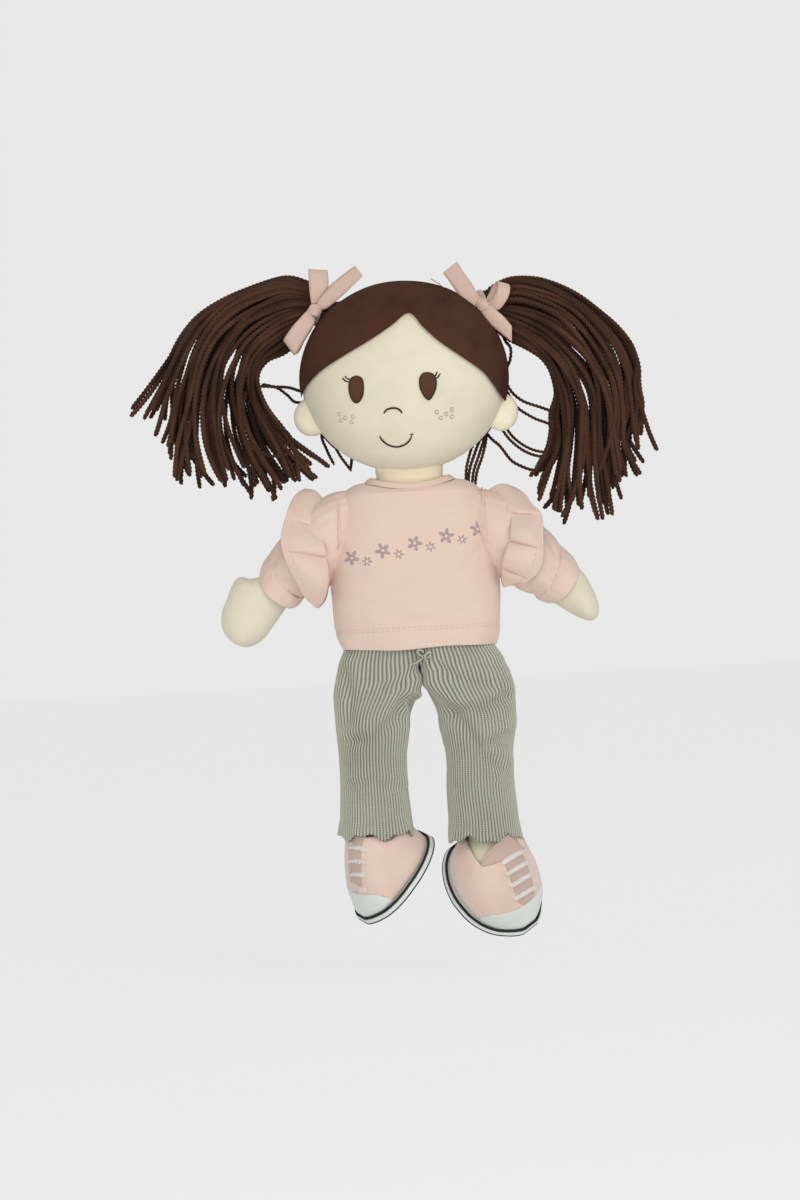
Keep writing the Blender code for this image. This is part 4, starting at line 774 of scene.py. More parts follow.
def pigtail_routes(side, layers, chooser, shorten=(0.0, 0.1)):
    """Strands read between the guides, in layers from the front of the bunch to its back."""
    guides = [smooth_path([seen(u, v) for u, v in guide], GUIDE_STEPS) for guide in GUIDES[side]]
    tie = seen(*TIES[side])
    tie.y = 3 * MM
    routes = []
    for layer, count in layers:
        for index in range(count):
            share = min(0.999, max(0, (index + chooser.uniform(0.1, 0.9)) / count))
            place = share * (len(guides) - 1)
            stray = chooser.uniform(-1.6, 1.6)
            edge = math.sqrt(max(0.06, 1 - (2 * share - 1) ** 2))
            level = layer + chooser.uniform(-0.16, 0.16)
            phases = [chooser.uniform(0, math.tau) for _ in range(4)]
            drift, hook = chooser.uniform(-1, 1), chooser.uniform(-1, 1) ** 3
            route = [tie + Vector((0, level * 5 * MM, 0))]
            for step in range(GUIDE_STEPS + 1 - int(GUIDE_STEPS * chooser.uniform(*shorten))):
                along = step / GUIDE_STEPS
                strayed = min(len(guides) - 1.001, max(0, place + stray * math.sin(2.6 * along) * along))
                point = guides[int(strayed)][step].lerp(guides[int(strayed) + 1][step], strayed % 1)
                sway = along ** 1.2 * 3.6 * MM
                point.x += sway * (math.sin(5 * along + phases[0]) + 0.6 * drift)
                point.x += 13 * MM * hook * max(0, (along - 0.66) / 0.34) ** 2
                point.z += 0.6 * sway * math.sin(6 * along + phases[1])
                thick = 4 + 13 * math.sin(math.pi * min(0.62, 0.08 + along * 0.75)) ** 0.8
                depth = 3 + thick * level * edge + 1.8 * math.sin(7 * along + phases[2])
                point = at_depth(point, depth * MM)
                if point.z < ABOVE_RUFFLES[side] * MM and abs(point.x) < 70 * MM:
                    break
                if (point - route[-1]).length > 0.5 * MM:
                    route.append(point)
            routes.append(route)
    return routes


# Loose strands as marks of the front view with depths in millimetres, one curling under the right bunch
LOOSE = {
    "right": (((317, 311, 8), (330, 345, 30), (318, 380, 28), (304, 391, 14), (290, 388, 4), (277, 387, -2),
               (256, 388, -4), (248, 405, -6)),
              ((317, 311, 8), (334, 350, 32), (320, 395, 28), (297.5, 402.6, 14), (287, 395, 6),
               (277, 388, 2), (262, 384, 0)),
              ((317, 311, 10), (338, 360, 34), (336, 405, 32), (322, 432, 26), (327, 450, 18),
               (334.3, 465, 14)),
              ((317, 311, 10), (342, 360, 35), (345, 405, 34), (331, 432, 28), (338, 452, 20),
               (351.4, 471, 14)),
              ((317, 311, 10), (340, 355, 34), (350, 400, 34), (352, 440, 30), (352, 458, 22),
               (350.5, 470, 16))),
    "left": (((487, 306, 6), (498, 322, 10), (504.7, 339.6, 4), (510.6, 348, 0), (510, 360, 0),
              (505.8, 370, 4), (506, 380, 8), (511, 391, 8), (523, 401, 6), (543, 408, 2), (558, 414, 0)),
             ((487, 306, 8), (480, 345, 26), (492, 372, 24), (504, 386, 18), (516, 406, 12),
              (533, 417.5, 8), (546, 422.5, 4), (558, 428, 2)),
             ((487, 306, 8), (474, 350, 32), (482, 395, 32), (502, 429, 24), (514.6, 444, 16),
              (531, 454, 10), (551, 458, 6)),
             ((487, 306, 8), (477, 350, 32), (487, 395, 31), (507, 429, 24), (519, 442, 18), (534, 450, 12),
              (551, 453, 8)),
             ((487, 306, 8), (468, 350, 34), (472, 400, 33), (487, 433, 26), (500, 446, 20), (511, 460, 14),
              (521, 466, 12), (533, 470, 10), (546, 469, 8)),
             ((487, 306, 10), (466, 350, 35), (474, 400, 34), (477.5, 432, 28), (471, 450, 24),
              (466.5, 468, 22), (466, 482, 22)),
             ((487, 306, 10), (470, 350, 36), (480, 400, 34), (481.5, 432, 28), (476, 450, 24),
              (470, 468, 22), (468, 484, 22)),
             ((487, 306, 12), (472, 352, 34), (482, 400, 33), (485, 432, 28), (480, 452, 24),
              (474, 470, 22), (472, 484, 22)),
             ((487, 306, 12), (474, 352, 35), (484, 402, 34), (486.5, 434, 29), (483, 454, 25),
              (477, 472, 23), (475, 486, 23))),
}
CURL = ((246, 392, -16), (243, 410, -18), (243, 426, -19), (247, 441, -20), (258, 451, -20), (272, 456, -20),
        (284, 455, -19), (291, 449, -17), (292, 441, -14), (288, 433, -10), (280, 428, -6), (268, 424, -2))


def build_pigtails():
    chooser = random.Random(7)
    for side in SIDES:
        body = f"pigtail_{side}"
        front = pigtail_routes(side, ((-0.95, 25), (-0.5, 17)), chooser)
        back = pigtail_routes(side, ((0.0, 14), (0.5, 14), (0.95, 15)), chooser, (0.0, 0.14))
        yarn(f"{body}_front_yarn", front, body, (body,), seed=3)
        yarn(f"{body}_back_yarn", back, body, seed=5)
        routes = LOOSE[side] + ((CURL,) if side == "right" else ())
        loose = [[seen(*mark) for mark in route] for route in routes]
        yarn(f"{body}_loose_yarn", loose, body, seed=9, thickness=0.7)
        build_gather(side)


def build_gather(side):
    """Root of a bunch, sewn to the cap, and the ribbon band round it."""
    lean = math.radians(24)
    axis = Vector((SIDES[side] * math.cos(lean), 0, math.sin(lean)))
    tie = mm(SIDES[side] * 49.5, 3, 185)
    deep = axis.cross(Y_AXIS)
    routes = []
    for index, angle in enumerate(circle(14)):
        out = Y_AXIS * math.cos(angle) + deep * math.sin(angle)
        inner = (index % 2) * 1.5
        routes.append([tie + (out * (reach - inner) - axis * back) * MM
                       for back, reach in ((15, 9.0), (9, 6.8), (4.2, 4.9), (0.2, 5.6))])
    yarn(f"hair_gather_{side}_yarn", routes, "head", (f"hair_gather_{side}",), seed=11)
    centre = tie - axis * 4.2 * MM
    rings = []
    for angle in circle(40):
        out = Y_AXIS * math.cos(angle) + deep * math.sin(angle)
        rings.append(ring(centre + out * 6.9 * MM, 2.6 * MM, 1.0 * MM, 10, axis, out))
    name = f"hair_tie_{side}"
    settle(wrap(rings + rings[:1]), f"{name}_ribbon", RIBBON, "head", (name,))


# Ribbon bows: pairs of marks on the two edges of each band, with depths in millimetres, then the knots' turns
BANDS = {
    "right": {
        "upright_loop": (((311.5, 305, -12), (316.5, 304, -12)), ((310.3, 296, -14), (321, 296, -14)),
                         ((309, 284, -14.5), (328.3, 286, -14.5)), ((308.5, 274, -14), (328.2, 276, -14)),
                         ((308.6, 269.2, -11.5), (327.3, 269.8, -11.5)),
                         ((309.5, 273, -9), (327.3, 275, -9)), ((311, 285, -8), (326.5, 288, -8)),
                         ((312.5, 296, -8.5), (320.5, 297, -8.5)),
                         ((312.5, 304.5, -10), (316.5, 304.5, -10))),
        "tail": (((313, 303, -11), (319.5, 311, -11)), ((319, 296.5, -13), (328, 307.5, -13)),
                 ((328.6, 286.3, -13.5), (342, 296.3, -14.5)), ((343, 274.5, -13), (354, 284.5, -15.5)),
                 ((355, 265.6, -12.5), (363, 275.3, -16))),
        "low_loop": (((308.5, 309, -12), (313, 316.5, -12)), ((301, 317, -14.5), (314.5, 322, -14)),
                     ((292, 327.5, -15.5), (307, 335, -15)), ((285.3, 337, -14.5), (298, 350, -14)),
                     ((283.6, 340.3, -12), (294.2, 354.5, -12)), ((286, 339, -9), (299.5, 351.5, -9)),
                     ((290.5, 331.5, -8), (304, 342.5, -8)), ((301, 320, -8.5), (313.5, 326, -8.5)),
                     ((308, 311.5, -10), (314, 317, -10))),
    },
    "left": {
        "tail_up": (((476, 308, -12), (482, 299, -12)), ((468, 303.5, -13), (478, 294.5, -13.5)),
                    ((459, 295, -14), (471.5, 283.5, -14)), ((450.5, 283.5, -14), (464, 272.5, -14)),
                    ((442.6, 273, -13), (457, 261.7, -13))),
        "tail_edge": (((472, 307, -13), (472, 307.4, -6)), ((457, 296.5, -14), (457, 297, -6)),
                      ((443.5, 286.5, -14), (443.7, 287.1, -6)), ((430.9, 278, -13), (431.1, 278.5, -5))),
        "round_loop": (((485, 303, -12), (488.5, 308.5, -12)), ((491, 300.5, -15), (499, 309.5, -15)),
                       ((496.5, 292, -17.5), (508, 297.5, -17)), ((498, 284, -16), (510.4, 287.5, -16)),
                       ((497, 280.8, -12.5), (508, 283.5, -12.5)), ((492.5, 286, -9), (505, 289.5, -9)),
                       ((488.5, 295, -8), (499, 300.5, -8)), ((484.5, 302, -10), (489, 308, -10))),
        "tail_down": (((484.7, 301.5, -12.5), (479.5, 310.5, -12)), ((494, 308, -14.5), (486, 320, -13)),
                      ((503, 315.5, -14.5), (498, 331, -13)), ((511.9, 326, -13), (511.9, 341.8, -12.5))),
    },
}
KNOTS = {"right": (314.5, 310.5, 35), "left": (482.5, 304.5, -25)}


def band(lines, columns=6):
    """Ribbon through pairs of edge points, a little hollow across, with a wall."""
    edges = [smooth_path([seen(*line[edge]) for line in lines], 30) for edge in (0, 1)]
    rows = []
    for first, second in zip(*edges):
        shares = [column / columns for column in range(columns + 1)]
        rows.append([first.lerp(second, share) - Y_AXIS * (0.5 * MM * math.sin(math.pi * share))
                     for share in shares])
    bm = wrap(uneven(rows, 90, 0.25), closed=False)
    bmesh.ops.solidify(bm, geom=bm.faces, thickness=0.35 * MM)
    return bm


def build_bows():
    for side in SIDES:
        u, v, turn = KNOTS[side]
        centre = seen(u, v, -12.5)
        turn = Matrix.Rotation(math.radians(turn), 3, "Y")
        rings = []
        for row in range(17):
            latitude = math.radians(86) * (row / 8 - 1)
            reach = math.cos(latitude) ** 0.7 * MM
            middle = X_AXIS * (3.3 * MM * math.sin(latitude))
            points = ring(middle, 2.6 * reach, 3.4 * reach, 36, Y_AXIS, Z_AXIS)
            folds = [1 + 0.10 * math.sin(6 * angle + row / 3) for angle in circle(36)]
            rings.append([centre + turn @ (point * fold) for point, fold in zip(points, folds)])
        parts = [band(lines) for lines in BANDS[side].values()] + [wrap(rings)]
        settle(join(parts), f"bow_{side}_ribbon", RIBBON, "head", (f"bow_{side}",))


# Neck, shirt and collar


def build_neck():
    rows = []
    for row in range(25):
        height = 78 + row
        crease = 0.5 * swell(height - 90.5, 1.2) + 0.35 * swell(height - 86.5, 1.0)
        rows.append(ring(mm(0, 0, height), (18.6 - crease) * MM, (13.2 - crease) * MM, 64, fullness=2.3))
    neck = settle(wrap(uneven(rows, 90, 0.35)), "neck_plush", NECK_CREAM, "neck", ("neck",))


# Shirt from hem to neck: shares of its height, half width and half depth
SHIRT_HEM, SHIRT_HEIGHT = -4.5, 92.2
SHIRT_SHARES = ((0.0, 0.91, 0.96), (0.08, 0.965, 0.98), (0.27, 1.0, 1.0), (0.48, 1.0, 0.98),
                (0.65, 0.975, 0.94), (0.79, 0.935, 0.86), (0.88, 0.88, 0.78), (0.94, 0.81, 0.74),
                (0.985, 0.68, 0.7), (1.0, 0.56, 0.66))
SHOULDER = 62.0
ARMHOLE = 20.0
# Creases of the shirt: middle across and up, reach, width, slope and depth
FOLDS = ((0, 30, 25, 2.2, 0.3, 0.9), (-22, 20, 18, 2.0, -0.35, 0.8), (25, 16, 20, 2.4, 0.25, 0.8),
         (8, 12, 26, 2.0, 0.05, 0.7), (-32, 44, 10, 1.8, -1.1, 0.8), (33, 46, 10, 1.8, 1.2, 0.8),
         (-14, 62, 16, 2.6, 0.9, 0.35), (18, 66, 14, 2.4, -0.8, 0.35))


def fold_push(x, z):
    """Soft creases of the shirt: each a trough along a leaning line, fading at its ends."""
    push = 0.0
    for across, up, reach, width, slope, deep in FOLDS:
        off = (z - up) - slope * (x - across)
        ridge = 0.55 * swell(off - 2.2 * width, 1.4 * width)
        push += deep * swell(x - across, reach) * (ridge - swell(off, width))
    return push


def seam_reach(height):
    """How far out the armhole's seam lies at a height: it swings outwards at the armpit."""
    return 39.4 + 6.3 * max(0, (57 - height) / 16) ** 1.4


def outwards(point):
    return Vector((point.x, point.y * 2, 0)).normalized()


def build_shirt():
    rings = []
    for lift, wide, deep in spread(SHIRT_SHARES, 64):
        centre = mm(0, 0, SHIRT_HEM + SHIRT_HEIGHT * lift)
        points = ring(centre, 46.3 * wide * MM, 26 * deep * MM, 128, fullness=2.3)
        for angle, point in zip(circle(128), points):
            x, z = point.x / MM, point.z / MM
            front = point.y < 0
            hem = max(0, 1 - (z - SHIRT_HEM) / 16)
            push = fold_push(x if front else -x, z) * (1 if front else 0.6) + noise.noise(point * 70) * 0.7
            push += hem * 0.9 * math.sin(7 * angle + 1.3) - 0.35 * swell(z - 6.9, 0.7)
            point += outwards(point) * (push * MM)
            point.z -= 4.6 * MM * max(0, -point.y / (16.9 * MM)) ** 2 * max(0, (lift - 0.93) / 0.07)
            around = math.hypot(point.y, point.z - SHOULDER * MM) / MM
            if abs(point.x) > 39.2 * MM and around < 24:
                inside = min(1, max(0, (24 - around) / 3.7))
                limit = (seam_reach(point.z / MM) - 0.2 + (1 - inside) ** 2 * 6) * MM
                point.x = math.copysign(min(abs(point.x), limit), point.x)
            if abs(z - SHIRT_HEM) < 8:
                point.z += hem * (0.5 * math.sin(x / 9.0) + 0.02 * abs(x)) * MM
        rings.append(points)
    covered = ("shirt_body", "torso_skin", "torso_stuffing")
    thicken(settle(wrap(rings, capped=False), "shirt_jersey", SHIRT, "torso", covered), 1.0)
    build_collar()
    lines = [dashes(hem_line(rings, height), 1.7, 1.2) for height in (7.4, 5.8)]
    settle(join(lines), "shirt_hem_stitches", STITCH, "torso")
    for side, sign in SIDES.items():
        seam = []
        for angle in circle(72):
            height = SHOULDER + ARMHOLE * math.cos(angle)
            seam.append(mm(sign * (seam_reach(height) + 0.1), ARMHOLE * math.sin(angle), height))
        settle(loop_tube(seam, 0.4 * MM, 10), f"armhole_{side}_seam", JERSEY, "torso")


def hem_line(rings, height):
    """Line round the shirt at a height, just proud of the cloth."""
    row = min(rings, key=lambda points: abs(points[0].z / MM - height))
    return [point + outwards(point) * 0.12 * MM + Z_AXIS * (height * MM - row[0].z) for point in row]


def build_collar():
    rows = []
    for row in range(9):
        share = row / 8
        bulge = 0.35 * math.sin(math.pi * share)
        wide, deep = (25.0 - 3.4 * share + bulge) * MM, (17.3 - share + bulge) * MM
        points = ring(mm(0, 0, 87.6 + 2.6 * share), wide, deep, 96)
        for point in points:
            point.z -= 4.8 * MM * max(0, -point.y / (17 * MM)) ** 2
        rows.append(points)
    collar = wrap(uneven(rows, 80, 0.3), capped=False)
    thicken(settle(collar, "collar_jersey", JERSEY, "torso", ("shirt_collar",)), 0.9)


# Rows across each arm in the front view: a mark on its upper edge, one on its lower edge, its half depth in
# millimetres, and how far its front runs ahead of its back
ARM_OUTLINES = {
    "right": ((290, 545, 313, 582, 11.5, 0), (277, 558, 301, 594, 12, 2), (265, 574, 290, 604, 12.8, 3),
              (252, 578.5, 283, 613.5, 13.5, 2), (240, 577, 276, 623.5, 14, 1),
              (231.5, 586, 270, 632, 14.3, 0), (226.5, 600, 264, 638.5, 14.3, 0),
              (222, 613, 258, 643, 13.5, 0), (221.5, 624.5, 252.5, 646, 12, 0),
              (226, 635, 247.5, 647.3, 9, 0), (232.5, 641.5, 243, 646.8, 5.5, 0),
              (237.5, 644.5, 239.5, 645.5, 1, 0)),
    "left": ((546, 534, 517, 574, 11.5, 0), (560, 549, 533, 588, 12, 2), (571, 560, 545, 597, 12.6, 3),
             (579, 568, 553, 602, 13, 2), (586, 576, 560, 607, 13.2, 1), (592, 585, 567, 611.5, 13.3, 0),
             (596.3, 595, 573.5, 615.5, 12.8, 0), (598.8, 605, 580, 618.3, 11, 0),
             (598.8, 612, 585.5, 620, 8.5, 0), (597, 616.8, 590, 620.8, 5, 0),
             (594.5, 619.2, 592.5, 620, 1, 0)),
}
SLEEVE_OUTLINES = {
    "right": ((356, 490, 348, 556, 13, 0), (344, 491, 341, 570, 17.5, 0), (332, 493.5, 334, 579, 19.5, 0),
              (320, 499, 329, 587, 20, 0.5), (307, 508, 323, 592, 20, 1), (294, 522, 317, 595, 19.5, 2),
              (281.5, 538, 310, 596.5, 18.5, 3.5), (272, 552, 304, 597, 17, 5),
              (269.5, 556, 302, 596.5, 15.8, 5.4), (270.5, 562, 298, 597, 14.6, 5.4)),
    "left": ((466, 489, 476, 552, 13, 0), (479, 489, 484, 563, 17.5, 0), (491, 490.5, 493, 572, 19.5, 0),
             (504, 494, 502, 579, 20, 0.5), (518, 502, 510, 585, 20, 1), (531, 513.5, 518, 589, 19.5, 2),
             (544, 527.5, 526, 592, 18.5, 3.2), (554, 538, 533, 595, 17, 4.3),
             (560, 547, 538, 596.5, 15.8, 4.5), (562, 553, 543, 594, 14.6, 4.5)),
}
CUFF_OUTLINES = {
    "right": ((271, 552, 304, 597, 16.3, 5.2), (268, 556, 303, 599.5, 17.2, 5.2),
              (264, 562, 300.5, 603, 17, 5.3), (261, 569, 297.5, 605.5, 16.4, 5.4),
              (260, 574.5, 294.5, 606.5, 15.8, 5.4)),
    "left": ((559, 545, 536, 597, 16.3, 4.4), (565, 549.5, 539, 599.5, 17.2, 4.4),
             (571, 555, 543, 601.5, 17, 4.4), (575, 560.5, 547, 602.5, 16.4, 4.5),
             (577, 565, 550.5, 602.5, 15.8, 4.5)),
}


def outline_rings(rows, steps, sides):
    """Rings across a limb whose two edges follow the rows' marks, each with its centre."""
    table = spread(rows, steps)
    edges = [(on_plane(row[0], row[1]), on_plane(row[2], row[3])) for row in table]
    middles = [(upper + lower) / 2 for upper, lower in edges]
    rings = []
    for index, middle in enumerate(middles):
        ahead = (middles[min(index + 1, steps)] - middles[max(index - 1, 0)]).normalized()
        deep, bow = table[index][4] * MM, table[index][5] * MM
        high, near = edges[index][0] - middle, ahead * bow - Y_AXIS * deep
        loop = [middle + high * math.cos(angle) + near * math.sin(angle) for angle in circle(sides)]
        rings.append((middle, loop))
    return rings


def build_arm(side):
    rings = []
    for middle, loop in outline_rings(ARM_OUTLINES[side], 54, 56):
        rings.append([point - (point - middle).normalized() * 0.45 * MM * swell(point.y, 0.7 * MM)
                      + wander(point, 70, 0.7 * MM) for point in loop])
    arm = settle(wrap(rings), f"hand_{side}_plush", CREAM, f"arm_{side}",
                 (f"arm_skin_{side}", f"arm_stuffing_{side}"))


def build_sleeve(side):
    rings = []
    for index, (middle, loop) in enumerate(outline_rings(SLEEVE_OUTLINES[side], 48, 96)):
        share = index / 48
        points = []
        for angle, point in zip(circle(96), loop):
            gather = 0.5 * share ** 2 * math.sin(15 * angle + 3 * math.sin(4 * angle))
            gather += 0.25 * (1 - share) * math.sin(21 * angle)
            crease = 1.1 * swell(share - 0.50 - 0.14 * math.sin(2 * angle), 0.05)
            crease += 0.9 * swell(share - 0.70 + 0.1 * math.sin(3 * angle + 1), 0.045)
            push = (gather - crease + 0.5 * noise.noise(point * 110)) * MM
            points.append(point + (point - middle).normalized() * push)
        rings.append(points)
    sleeve(rings, side, "sleeve", 0.9)
    rings = []
    for index, (middle, loop) in enumerate(outline_rings(CUFF_OUTLINES[side], 16, 88)):
        ease = 0.25 * MM * (1 - index / 16)
        rings.append([point + (point - middle).normalized() * ease * math.sin(17 * angle)
                      + wander(point, 90, 0.4 * MM) for angle, point in zip(circle(88), loop)])
    sleeve(rings, side, "cuff", 1.3)


def sleeve(rings, side, kind, wall):
    """Open tube of jersey on an arm."""
    name = f"{kind}_{side}"
    tube = settle(wrap(rings, capped=False), f"{name}_jersey", JERSEY, f"arm_{side}", (name,))
    thicken(tube, wall)


# Ruffles in the front view: rim and root from the top ridge to the lower tip, and the shares where pleats end
RUFFLES = {
    "right": (((305, 489.5), (298, 494.2), (291, 505), (286.5, 518.5), (283, 533), (282.7, 545),
               (285.8, 557.8), (291, 571), (296.7, 581), (305.4, 596.9), (316.4, 607.4)),
              ((326, 503), (325.5, 510), (321, 518), (320.5, 527), (322, 538), (325, 550), (327, 562),
               (328.5, 575), (328, 587), (325, 598), (318, 607)), (0.25, 0.5)),
    "left": (((515, 488.3), (524, 494.5), (532.6, 505.8), (538.5, 511.5), (542, 521), (542.3, 534),
              (542, 545.5), (540.2, 560.6), (535.5, 573), (526, 581.3), (516.6, 583), (504, 587.5)),
             ((490, 490), (500, 499), (507, 508), (510.5, 517), (511, 528), (510.6, 538), (507.5, 547),
              (504.5, 555), (502.5, 563), (502, 572), (502, 580), (503, 587)), (0.27, 0.53, 0.8)),
}
# Height of a pleat in millimetres
PLEAT = 7.5


def pleat_lift(share, ends):
    """Height of the pleats along the frill: each swells slowly, then rolls down onto the next."""
    marks = (0.0, *ends, 1.0)
    for first, second in zip(marks, marks[1:]):
        if share <= second:
            part = (share - first) / (second - first)
            climb, belly = 0.75 * part ** 0.8, 0.4 * math.sin(math.pi * part)
            if first and part < 0.05:
                return PLEAT * (0.525 * (1 - part / 0.05) ** 2 + (climb + belly) * part / 0.05)
            fall = 1.0 if second < 1.0 else 1 - part ** 2
            return PLEAT * (climb * (1 - 0.3 * max(0, (part - 0.88) / 0.12) ** 2) + belly) * fall
    return 0.0


def build_ruffle(side):
    """Frill over the shoulder, from the front of the armpit over the top to its back, in soft box pleats."""
    rim, root, ends = RUFFLES[side]
    half, lines = 170, 22
    rim, root = (smooth_path([on_plane(u, v) for u, v in marks], half) for marks in (rim, root))

    def place(index, out, lift=0.0):
        share, in_front = abs(index) / half, index < 0
        turn = math.radians(90 - 152 * share)
        base = root[abs(index)].lerp(rim[abs(index)], out)
        puff = 2.4 * math.sin(math.pi * out) ** 0.8 + 0.5 * math.sin(9 * share + 4 * out)
        pleats = ends if in_front else [1 - end * 0.9 for end in reversed(ends)]
        pleat = pleat_lift(share, pleats) * (1 - 0.9 * out ** 1.8)
        depth = (17.8 + 6.2 * out + puff + pleat + lift) * MM * math.cos(turn)
        point = at_depth(base, -depth) if in_front else base + Y_AXIS * depth
        point.z += 2.6 * math.sin(math.pi * out) * swell(share, 0.12) * MM
        return point + wander(point, 60, 0.8 * MM)

    body, name = f"arm_{side}", f"ruffle_{side}"
    rows = [[place(index, line / lines) for index in range(-half, half + 1)] for line in range(lines + 1)]
    thicken(settle(wrap(rows, closed=False), f"{name}_jersey", JERSEY, body, (name,)), 1.0, 0)
    settle(wrap(cord_rings(rows[-1][::2], 0.8 * MM, 10)), f"{name}_hem", JERSEY, body)
    seam = [place(index, 0.83, 0.62) for index in range(6 - half, half - 5, 2)]
    settle(dashes(seam, 1.3, 1.0, False), f"{name}_stitches", STITCH, body)


# Trousers: rows of the seat with its height, and shares of its shift, half width and half depth, then rows of
# the legs with shares of their length, shift, half width and half depth
SEAT = ((6.0, 0.0, 0.835, 0.93), (-3.0, 0.1, 0.83, 0.93), (-12.8, 0.6, 0.92, 0.98),
        (-19.9, 1.0, 0.965, 0.98), (-24.5, 1.0, 0.985, 0.97), (-30.0, 1.0, 1.0, 0.95))
SEAT_SHIFT, SEAT_WIDTH, SEAT_DEPTH = 1.6, 48.6, 23.5
LEG_CENTRES = {"right": -27.2, "left": 30.2}
LEG_WIDTHS = {"right": 20.0, "left": 20.8}
LEG_DEPTH = 18.2
CROTCH = -45.3
LEG_BOTTOMS = {"right": -95.5, "left": -100.0}
HEM_DROP = 10
HEM_PHASES = {"right": 3.4, "left": 1.0}
LEG_SHARES = {
    "right": ((0.0, 0.0, 1.0, 1.0), (0.33, -0.045, 0.91, 0.97), (0.66, -0.045, 0.92, 0.95),
              (1.0, -0.04, 0.96, 0.97)),
    "left": ((0.0, 0.0, 1.01, 1.0), (0.33, 0.0, 0.86, 0.97), (0.66, -0.015, 0.88, 0.95),
             (1.0, 0.04, 0.9, 0.97)),
}
LEG_TABLES = {side: spread(rows, 60) for side, rows in LEG_SHARES.items()}
RIBS = 66
WAIST = 4.5


def leg_section(side, height):
    """Centre, half width and half depth of a trouser leg at a height."""
    share = min(1, max(0, (CROTCH - height) / (CROTCH - LEG_BOTTOMS[side])))
    _, shift, wide, deep = LEG_TABLES[side][int(share * 60)]
    width = LEG_WIDTHS[side]
    return LEG_CENTRES[side] + width * shift, width * wide, LEG_DEPTH * deep


def seat_section(height):
    upper, lower = next(pair for pair in zip(SEAT, SEAT[1:]) if height >= pair[1][0])
    t = min(1, max(0, (upper[0] - height) / (upper[0] - lower[0])))
    t = t * t * (3 - 2 * t) * 0.5 + t * 0.5
    shift, wide, deep = (a * (1 - t) + b * t for a, b in zip(upper[1:], lower[1:]))
    return SEAT_SHIFT * shift, SEAT_WIDTH * wide, SEAT_DEPTH * deep


def trouser_point(side, height, angle):
    """Place on one half of the trousers: a leg's oval below the crotch, half of the seat above it."""
    sign = SIDES[side]
    centre, wide, deep = leg_section(side, height)
    out, back = math.cos(angle), math.sin(angle)
    low = Vector((centre + sign * wide * out, deep * back, height))
    middle, seat_wide, seat_deep = seat_section(max(height, SEAT[-1][0]))
    x = seat_wide / 2 * (1 + math.copysign(abs(out) ** (0.9 if out > 0 else 0.32), out))
    x = min(x, seat_wide)
    reach = max(0, 1 - (x / seat_wide) ** 2.4) ** (1 / 2.4)
    y = seat_deep * math.copysign(reach * abs(back) ** 0.25, back)
    if out > 0:
        y = math.copysign(seat_deep * reach, back) if abs(back) > 1e-6 else 0
    high = Vector((middle + sign * (x + 0.6), y, height))
    t = min(1, max(0, (height + 44) / 24))
    return low.lerp(high, t * t * (3 - 2 * t))


# Creases of each trouser leg in the front view, with their width and depth in millimetres
CREASE_LINES = {
    "right": ((((411.5, 700), (412, 730), (411.5, 790), (415, 832)), 1.3, 1.4),
              (((404, 702), (390, 724), (373, 739), (353, 743)), 2.6, 1.5),
              (((345, 672), (352, 700), (347, 725)), 2.6, 1.0),
              (((350, 790), (372, 783), (395, 790)), 2.4, 0.7),
              (((420, 668), (404, 682), (385, 690)), 2.4, 1.0)),
    "left": ((((427, 697), (454, 711), (485, 709), (508, 698)), 2.6, 1.4),
             (((454, 714), (469, 731), (485, 754), (508, 774)), 2.6, 1.3),
             (((526, 660), (538, 680), (545, 705), (546, 728)), 1.8, 1.8),
             (((546, 728), (531, 737), (511, 739), (492, 743)), 2.6, 1.5),
             (((542, 762), (527, 777), (508, 782)), 2.4, 1.1),
             (((440, 668), (462, 682), (490, 686)), 2.4, 0.9)),
}
CREASES = {side: [([Vector((1, 0, 1)) * seen(u, v, -25) / MM for u, v in marks], width, deep)
                  for marks, width, deep in lines] for side, lines in CREASE_LINES.items()}


def leg_crease(side, point):
    """Depth of the creases at a point of a leg: a valley along each, and a soft ridge above it."""
    push = 0.0
    for marks, width, deep in CREASES[side]:
        near, over = 1e9, 0.0
        for first, second in zip(marks, marks[1:]):
            along = second - first
            share = min(1, max(0, (point - first).dot(along) / along.length_squared))
            off = point - first - along * share
            off.y = 0
            if off.length < near:
                near, over = off.length, off.z
        push -= 1.7 * deep * swell(near, 1.15 * width)
        push += 0.9 * deep * swell(near - 2.4 * width, 1.4 * width) * (over > 0)
    return push


